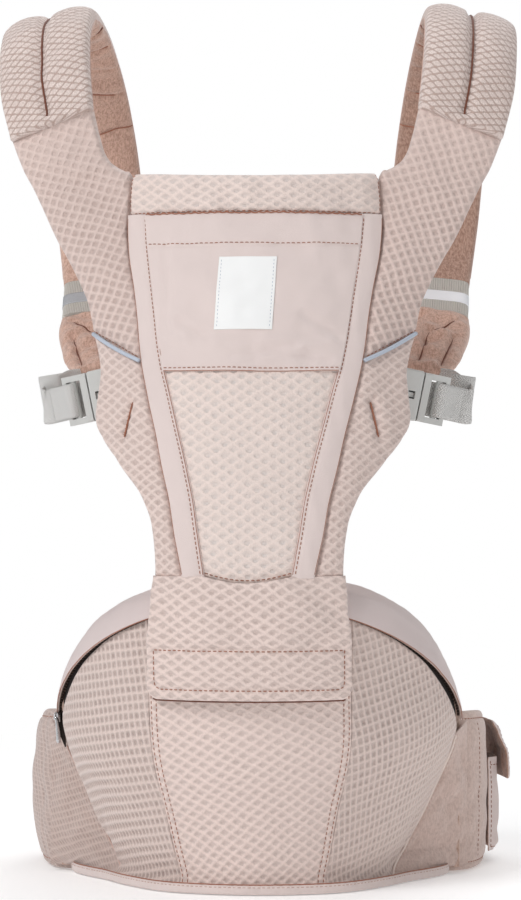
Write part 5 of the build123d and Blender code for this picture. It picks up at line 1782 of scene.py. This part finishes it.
def make_strap_end(side, mirrored):
    """Gathered strap end that the adjusting webbing is sewn into."""
    tube = Tube(END_INNER, END_OUTER, int(100 / RES), int(96 / RES))
    section_x, section_y = superellipse(tube.angle, 0.8, 0.7)
    run = (tube.length / tube.length[-1])[:, None]
    x = tube.width[:, None] / 2 * section_x * (1 + 0.03 * np.sin(run * 9))
    half_thick = (18.0 - 6.5 * run) / 2 + 2.4 * np.sin(np.pi * np.clip(run * 1.25, 0, 1))
    length = tube.lengths_like(x)
    steep = np.abs(section_y)
    y = (half_thick * section_y + 1.5 * wavy(x, length, 24, 181 + mirrored) * steep
         + 0.6 * wavy(x, length, 11, 184 + mirrored) * steep)
    y = creased(y, x, length, END_FOLDS, signed_power(section_y, 0.4))
    obj = tube.build("strap_end_gather_" + side, x, y, ("jersey_end",), mirror=mirrored, close=1.6)
    fit(obj, "panel", "lining_jersey", "strap_end_" + side)
    # dark cords along the first four folds of the gathered end: painted shade in the fold creases
    for i, (x0, start, x1, end, _, _) in enumerate(END_FOLDS[:4]):
        fraction = np.linspace(0.05, 0.95, 16)
        rows = np.searchsorted(tube.length, start + (end - start) * fraction)
        rows = np.clip(rows, 1, len(tube.length) - 2)
        cols = np.array([
            int(np.argmin(np.where(section_y < 0, abs(x[row] - (x0 + (x1 - x0) * f)), 1e9)))
            for row, f in zip(rows, fraction)])
        points = smoothed(tube.pick(rows, cols, x, y, -0.4), 3)
        cord("strap_end_fold_%s_%d" % (side, i), points * side_scale(mirrored),
             0.62 * np.sin(np.pi * np.linspace(0.1, 0.9, 16)), "panel", "thread_dark")


# ------------------------------------------------------------------ webbing
def band(name, points, up, half_width, body, replaced=(), thick=1.8, res=1.5):
    """Flat webbing through points; its width runs along up."""
    points = np.asarray(points, float)
    at = lengths(points)
    stations = max(int(at[-1] / (res * RES)), 8)
    fraction = np.linspace(0, 1, stations)
    centre = spline(points, fraction)
    run = fraction * at[-1]
    up = interp_rows(run, at, np.broadcast_to(np.asarray(up, float), points.shape))
    half = np.interp(run, at, np.broadcast_to(half_width, len(points)))
    tangent = unit(np.gradient(centre, axis=0))
    up = unit(up - tangent * (up * tangent).sum(-1, keepdims=True))
    normal = np.cross(tangent, up)
    a = np.linspace(-1, 1, 13)
    edge = np.abs(a)
    rise = thick / 2 * np.where(edge > 0.99, 0.35,
                                np.where(edge > 0.9, 1.0, 0.86 + 0.05 * np.cos(a * 22)))
    x = np.concatenate([a, a[::-1]])
    y = np.concatenate([rise, -rise[::-1]])
    verts = (centre[:, None] + up[:, None] * (x[None, :, None] * half[:, None, None])
             + normal[:, None] * y[None, :, None])
    obj = add_loft(name, verts, x[None] * half[:, None], lengths(centre)[:, None], "webbing",
                   turned=True)
    fit(obj, body, "webbing", *replaced)


# side buckle on the right: its middle, and its long, wide and thick directions
BUCKLE = np.array([116.0, -29.0, 347.0])
BUCKLE_LONG = np.array([0.89498, 0.40681, -0.18306])
BUCKLE_WIDE = np.array([0.19713, 0.00748, 0.98035])
BUCKLE_THICK = np.array([-0.40018, 0.91348, 0.0735])


def buckle_points(middle, offsets):
    return [middle + BUCKLE_LONG * along + BUCKLE_THICK * out for along, out in offsets]


def make_buckle_webbing(side, mirrored):
    scale = side_scale(mirrored)
    points = buckle_points(BUCKLE, [(along, 6.8) for along in (8, 20, 32, 42)])
    points += [(153.5, -3, 340.5), (151, 14, 345), (145, 30, 352), (139, 42, 358.5),
               (130.5, 49.6, 362.5)]
    up = [BUCKLE_WIDE] * 4 + [(0.12, 0, 0.99)] * 2 + [(0.05, 0, 1.0)] * 3
    band("adjusting_webbing_" + side, np.array(points) * scale, np.array(up) * scale,
         [12.5] * 6 + [12.0, 9.5, 7.0], "panel", ("strap_webbing",) if mirrored else ())
    # turn round the ladder bar: the front layer seen inside the tongue
    loop = buckle_points(BUCKLE, (
        (20.5, 5.6), (15.5, 4.9), (12.9, 2.6), (12.6, 0.0), (13.2, -2.4), (15.5, -3.9),
        (19.0, -3.4), (24.0, -0.4), (29.0, 2.6), (36.0, 4.7)))
    band("ladder_webbing_" + side, np.array(loop) * scale, BUCKLE_WIDE * scale, 12.2,
         "side_tongue_" + side)
    # spare webbing rolled up beside the buckle
    angle = np.linspace(0.4, 2 * np.pi * 1.9, 60)
    radius = 3.2 + 2.0 * angle / (2 * np.pi)
    centre = np.array([148.5, 8.0, 352.5] if mirrored else [146.5, 13.0, 352.0])
    first, second = unit(np.array([0.75, 0.62, -0.1])), unit(np.array([-0.62, 0.75, 0.12]))
    roll = (centre + first * (radius * np.cos(angle))[:, None] * 1.5
            + second * (radius * np.sin(angle))[:, None] * 0.8)
    band("webbing_roll_" + side, roll * scale, np.array([0.12, -0.16, 1.0]) * scale, 11.0,
         "panel", thick=1.5)
    # tab that anchors the female buckle to the wing
    rear = BUCKLE - BUCKLE_LONG * 28.25
    bar = BUCKLE - BUCKLE_LONG * 22.65
    tab = [(75.0, float(panel_face(75, 352)) + 11.5, 352.0),
           (81.0, float(panel_face(81, 352)) + 13.5, 352.0)]
    tab += buckle_points(rear, [(0, 3.4)])
    tab += buckle_points(bar, [(0, 6.0), (2.6, 3.6), (1.6, 0), (2.6, -3.6), (0, -6.0)])
    tab += buckle_points(rear, [(0, -2.6)])
    band("buckle_tab_web_" + side, np.array(tab) * scale, BUCKLE_WIDE * scale, 12.0, "panel",
         ("buckle_tabs",) if mirrored else (), thick=1.7)


# x, y of the waist webbing, at z = 50
WAIST_RIGHT = [(10, 251), (40, 251), (72, 250.6), (86, 245), (94.5, 233.5), (99.2, 223.2)]
WAIST_LEFT = [
    (-58, 248.6), (-48, 250.5), (-35.6, 250.6), (-34.2, 250.0), (-33.7, 249.0), (-33.7, 237.0),
    (-34.2, 236.0), (-35.6, 235.4), (-50, 235.6), (-70, 236.5), (-84, 234), (-93, 229),
    (-99.2, 221.5)]


def make_webbing():
    upright = (0, 0, 1.0)
    for side, mirrored in SIDES:
        make_buckle_webbing(side, mirrored)
    for side, line, res in (("right", WAIST_RIGHT, 1.5), ("left", WAIST_LEFT, 0.8)):
        band("waist_webbing_band_" + side, [(x, y, 50) for x, y in line], upright, 19,
             "belt_" + side, ("waist_webbing_" + side,), res=res)
    band("chest_webbing_band_right", [(12, 180.3, 490), (60, 180.5, 490), (108.4, 180.3, 490)],
         upright, 10, "chest_strap", ("chest_webbing",), thick=1.4)
    band("chest_webbing_band_left", [(-23.6, 175, 490), (-60, 175.3, 490), (-108.4, 175, 490)],
         upright, 10, "chest_strap", thick=1.4)
    for side, mirrored in SIDES:
        x = -118 if mirrored else 118
        band("chest_rail_web_" + side, [(x, 171.4, 442), (x, 171.6, 490), (x, 171.4, 538)],
             (1.0, 0, 0), 5, "panel", ("chest_rails",) if mirrored else (), thick=1.3)


def finish_plastic_parts():
    """The moulded parts keep their CAD shape."""
    for name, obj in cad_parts.items():
        buckle = "buckle" in name and "tab" not in name
        if buckle or "prong" in name or name == "chest_sliders":
            repaint(obj, "plastic")
            bevel = add_bevel(obj, width=0.45, segments=2)
            bevel.limit_method, bevel.angle_limit = "ANGLE", math.radians(40)
            obj.modifiers.new("normals", "WEIGHTED_NORMAL")


# ------------------------------------------------------------------ studio (in metres)
DOME_COLOUR = (0.985, 0.99, 1.0)
# name, place, power in watts, size
LIGHTS = (
    ("key", (-1.7, -1.9, 2.0), 46, 1.2),
    ("fill", (1.9, -2.0, 1.0), 9, 1.6),
    ("top", (0.2, 0.6, 2.6), 16, 1.6),
    ("rim", (0.8, 2.4, 1.6), 16, 1.4),
)


def add_aimed(name, data, place, target):
    obj = bpy.data.objects.new(name, data)
    bpy.context.scene.collection.objects.link(obj)
    obj.location = place
    obj.rotation_euler = (target - Vector(place)).to_track_quat("-Z", "Y").to_euler()
    return obj


def make_camera():
    target = Vector((5.2, -60, 309)) * MM
    azimuth, distance = math.radians(2.7), 2.2
    place = target + Vector((math.sin(azimuth), -math.cos(azimuth), 0)) * distance
    camera = bpy.data.cameras.new("camera")
    bpy.context.scene.camera = add_aimed("camera", camera, place, target)
    camera.lens, camera.sensor_width, camera.clip_end = 125.71, 36, 60


def make_world():
    """The lens sees plain white; the object is lit by a softer dome."""
    world = bpy.data.worlds.new("studio")
    bpy.context.scene.world = world
    world.use_nodes = True
    nodes, links = world.node_tree.nodes, world.node_tree.links
    white = nodes["Background"]
    white.inputs[0].default_value = (1, 1, 1, 1)
    white.inputs[1].default_value = 1.0
    path = nodes.new("ShaderNodeLightPath")
    dome = nodes.new("ShaderNodeBackground")
    dome.inputs[0].default_value = DOME_COLOUR + (1,)
    dome.inputs[1].default_value = 0.36
    mix = nodes.new("ShaderNodeMixShader")
    links.new(path.outputs["Is Camera Ray"], mix.inputs[0])
    links.new(dome.outputs[0], mix.inputs[1])
    links.new(white.outputs[0], mix.inputs[2])
    links.new(mix.outputs[0], nodes["World Output"].inputs[0])


def make_lights():
    for name, place, power, size in LIGHTS:
        light = bpy.data.lights.new(name, "AREA")
        light.energy, light.size, light.color = power, size, DOME_COLOUR
        add_aimed(name, light, place, Vector((0, 0, 0.3)))


def make_floor():
    """Away from the object the floor fades into the white backdrop."""
    mesh = bpy.data.meshes.new("floor")
    mesh.from_pydata([(-6, -6, 0), (6, -6, 0), (6, 14, 0), (-6, 14, 0)], [], [(0, 1, 2, 3)])
    floor = bpy.data.objects.new("floor", mesh)
    bpy.context.scene.collection.objects.link(floor)
    floor.location.z = -0.0006
    material = bpy.data.materials.new("floor")
    material.use_nodes = True
    nodes, links = material.node_tree.nodes, material.node_tree.links
    near = nodes["Principled BSDF"]
    near.inputs["Base Color"].default_value = (0.93, 0.93, 0.93, 1)
    near.inputs["Roughness"].default_value = 0.8
    near.inputs["Emission Color"].default_value = (1, 1, 1, 1)
    near.inputs["Emission Strength"].default_value = 0.22
    geometry = nodes.new("ShaderNodeNewGeometry")
    distance = nodes.new("ShaderNodeVectorMath")
    distance.operation = "LENGTH"
    links.new(geometry.outputs["Position"], distance.inputs[0])
    fade = nodes.new("ShaderNodeMapRange")
    fade.interpolation_type = "SMOOTHSTEP"
    fade.inputs[1].default_value, fade.inputs[2].default_value = 0.28, 1.15
    links.new(distance.outputs["Value"], fade.inputs[0])
    far = nodes.new("ShaderNodeEmission")
    far.inputs[0].default_value = (1, 1, 1, 1)
    far.inputs[1].default_value = 1.0
    mix = nodes.new("ShaderNodeMixShader")
    links.new(fade.outputs[0], mix.inputs[0])
    links.new(near.outputs[0], mix.inputs[1])
    links.new(far.outputs[0], mix.inputs[2])
    links.new(mix.outputs[0], nodes["Material Output"].inputs[0])
    mesh.materials.append(material)


make_materials()
make_panel()
make_seat()
make_flap()
make_hook_tape()
for side_name, is_mirrored in SIDES:
    make_belt_wing(side_name, is_mirrored)
make_pouch()
make_pouch_flap()
for side_name, is_mirrored in SIDES:
    make_strap(side_name, is_mirrored)
    make_cuff(side_name, is_mirrored)
    make_strap_end(side_name, is_mirrored)
make_webbing()
finish_plastic_parts()
build_stitches()

bpy.context.scene.view_settings.view_transform = "Standard"
make_camera()
make_world()
make_lights()
make_floor()
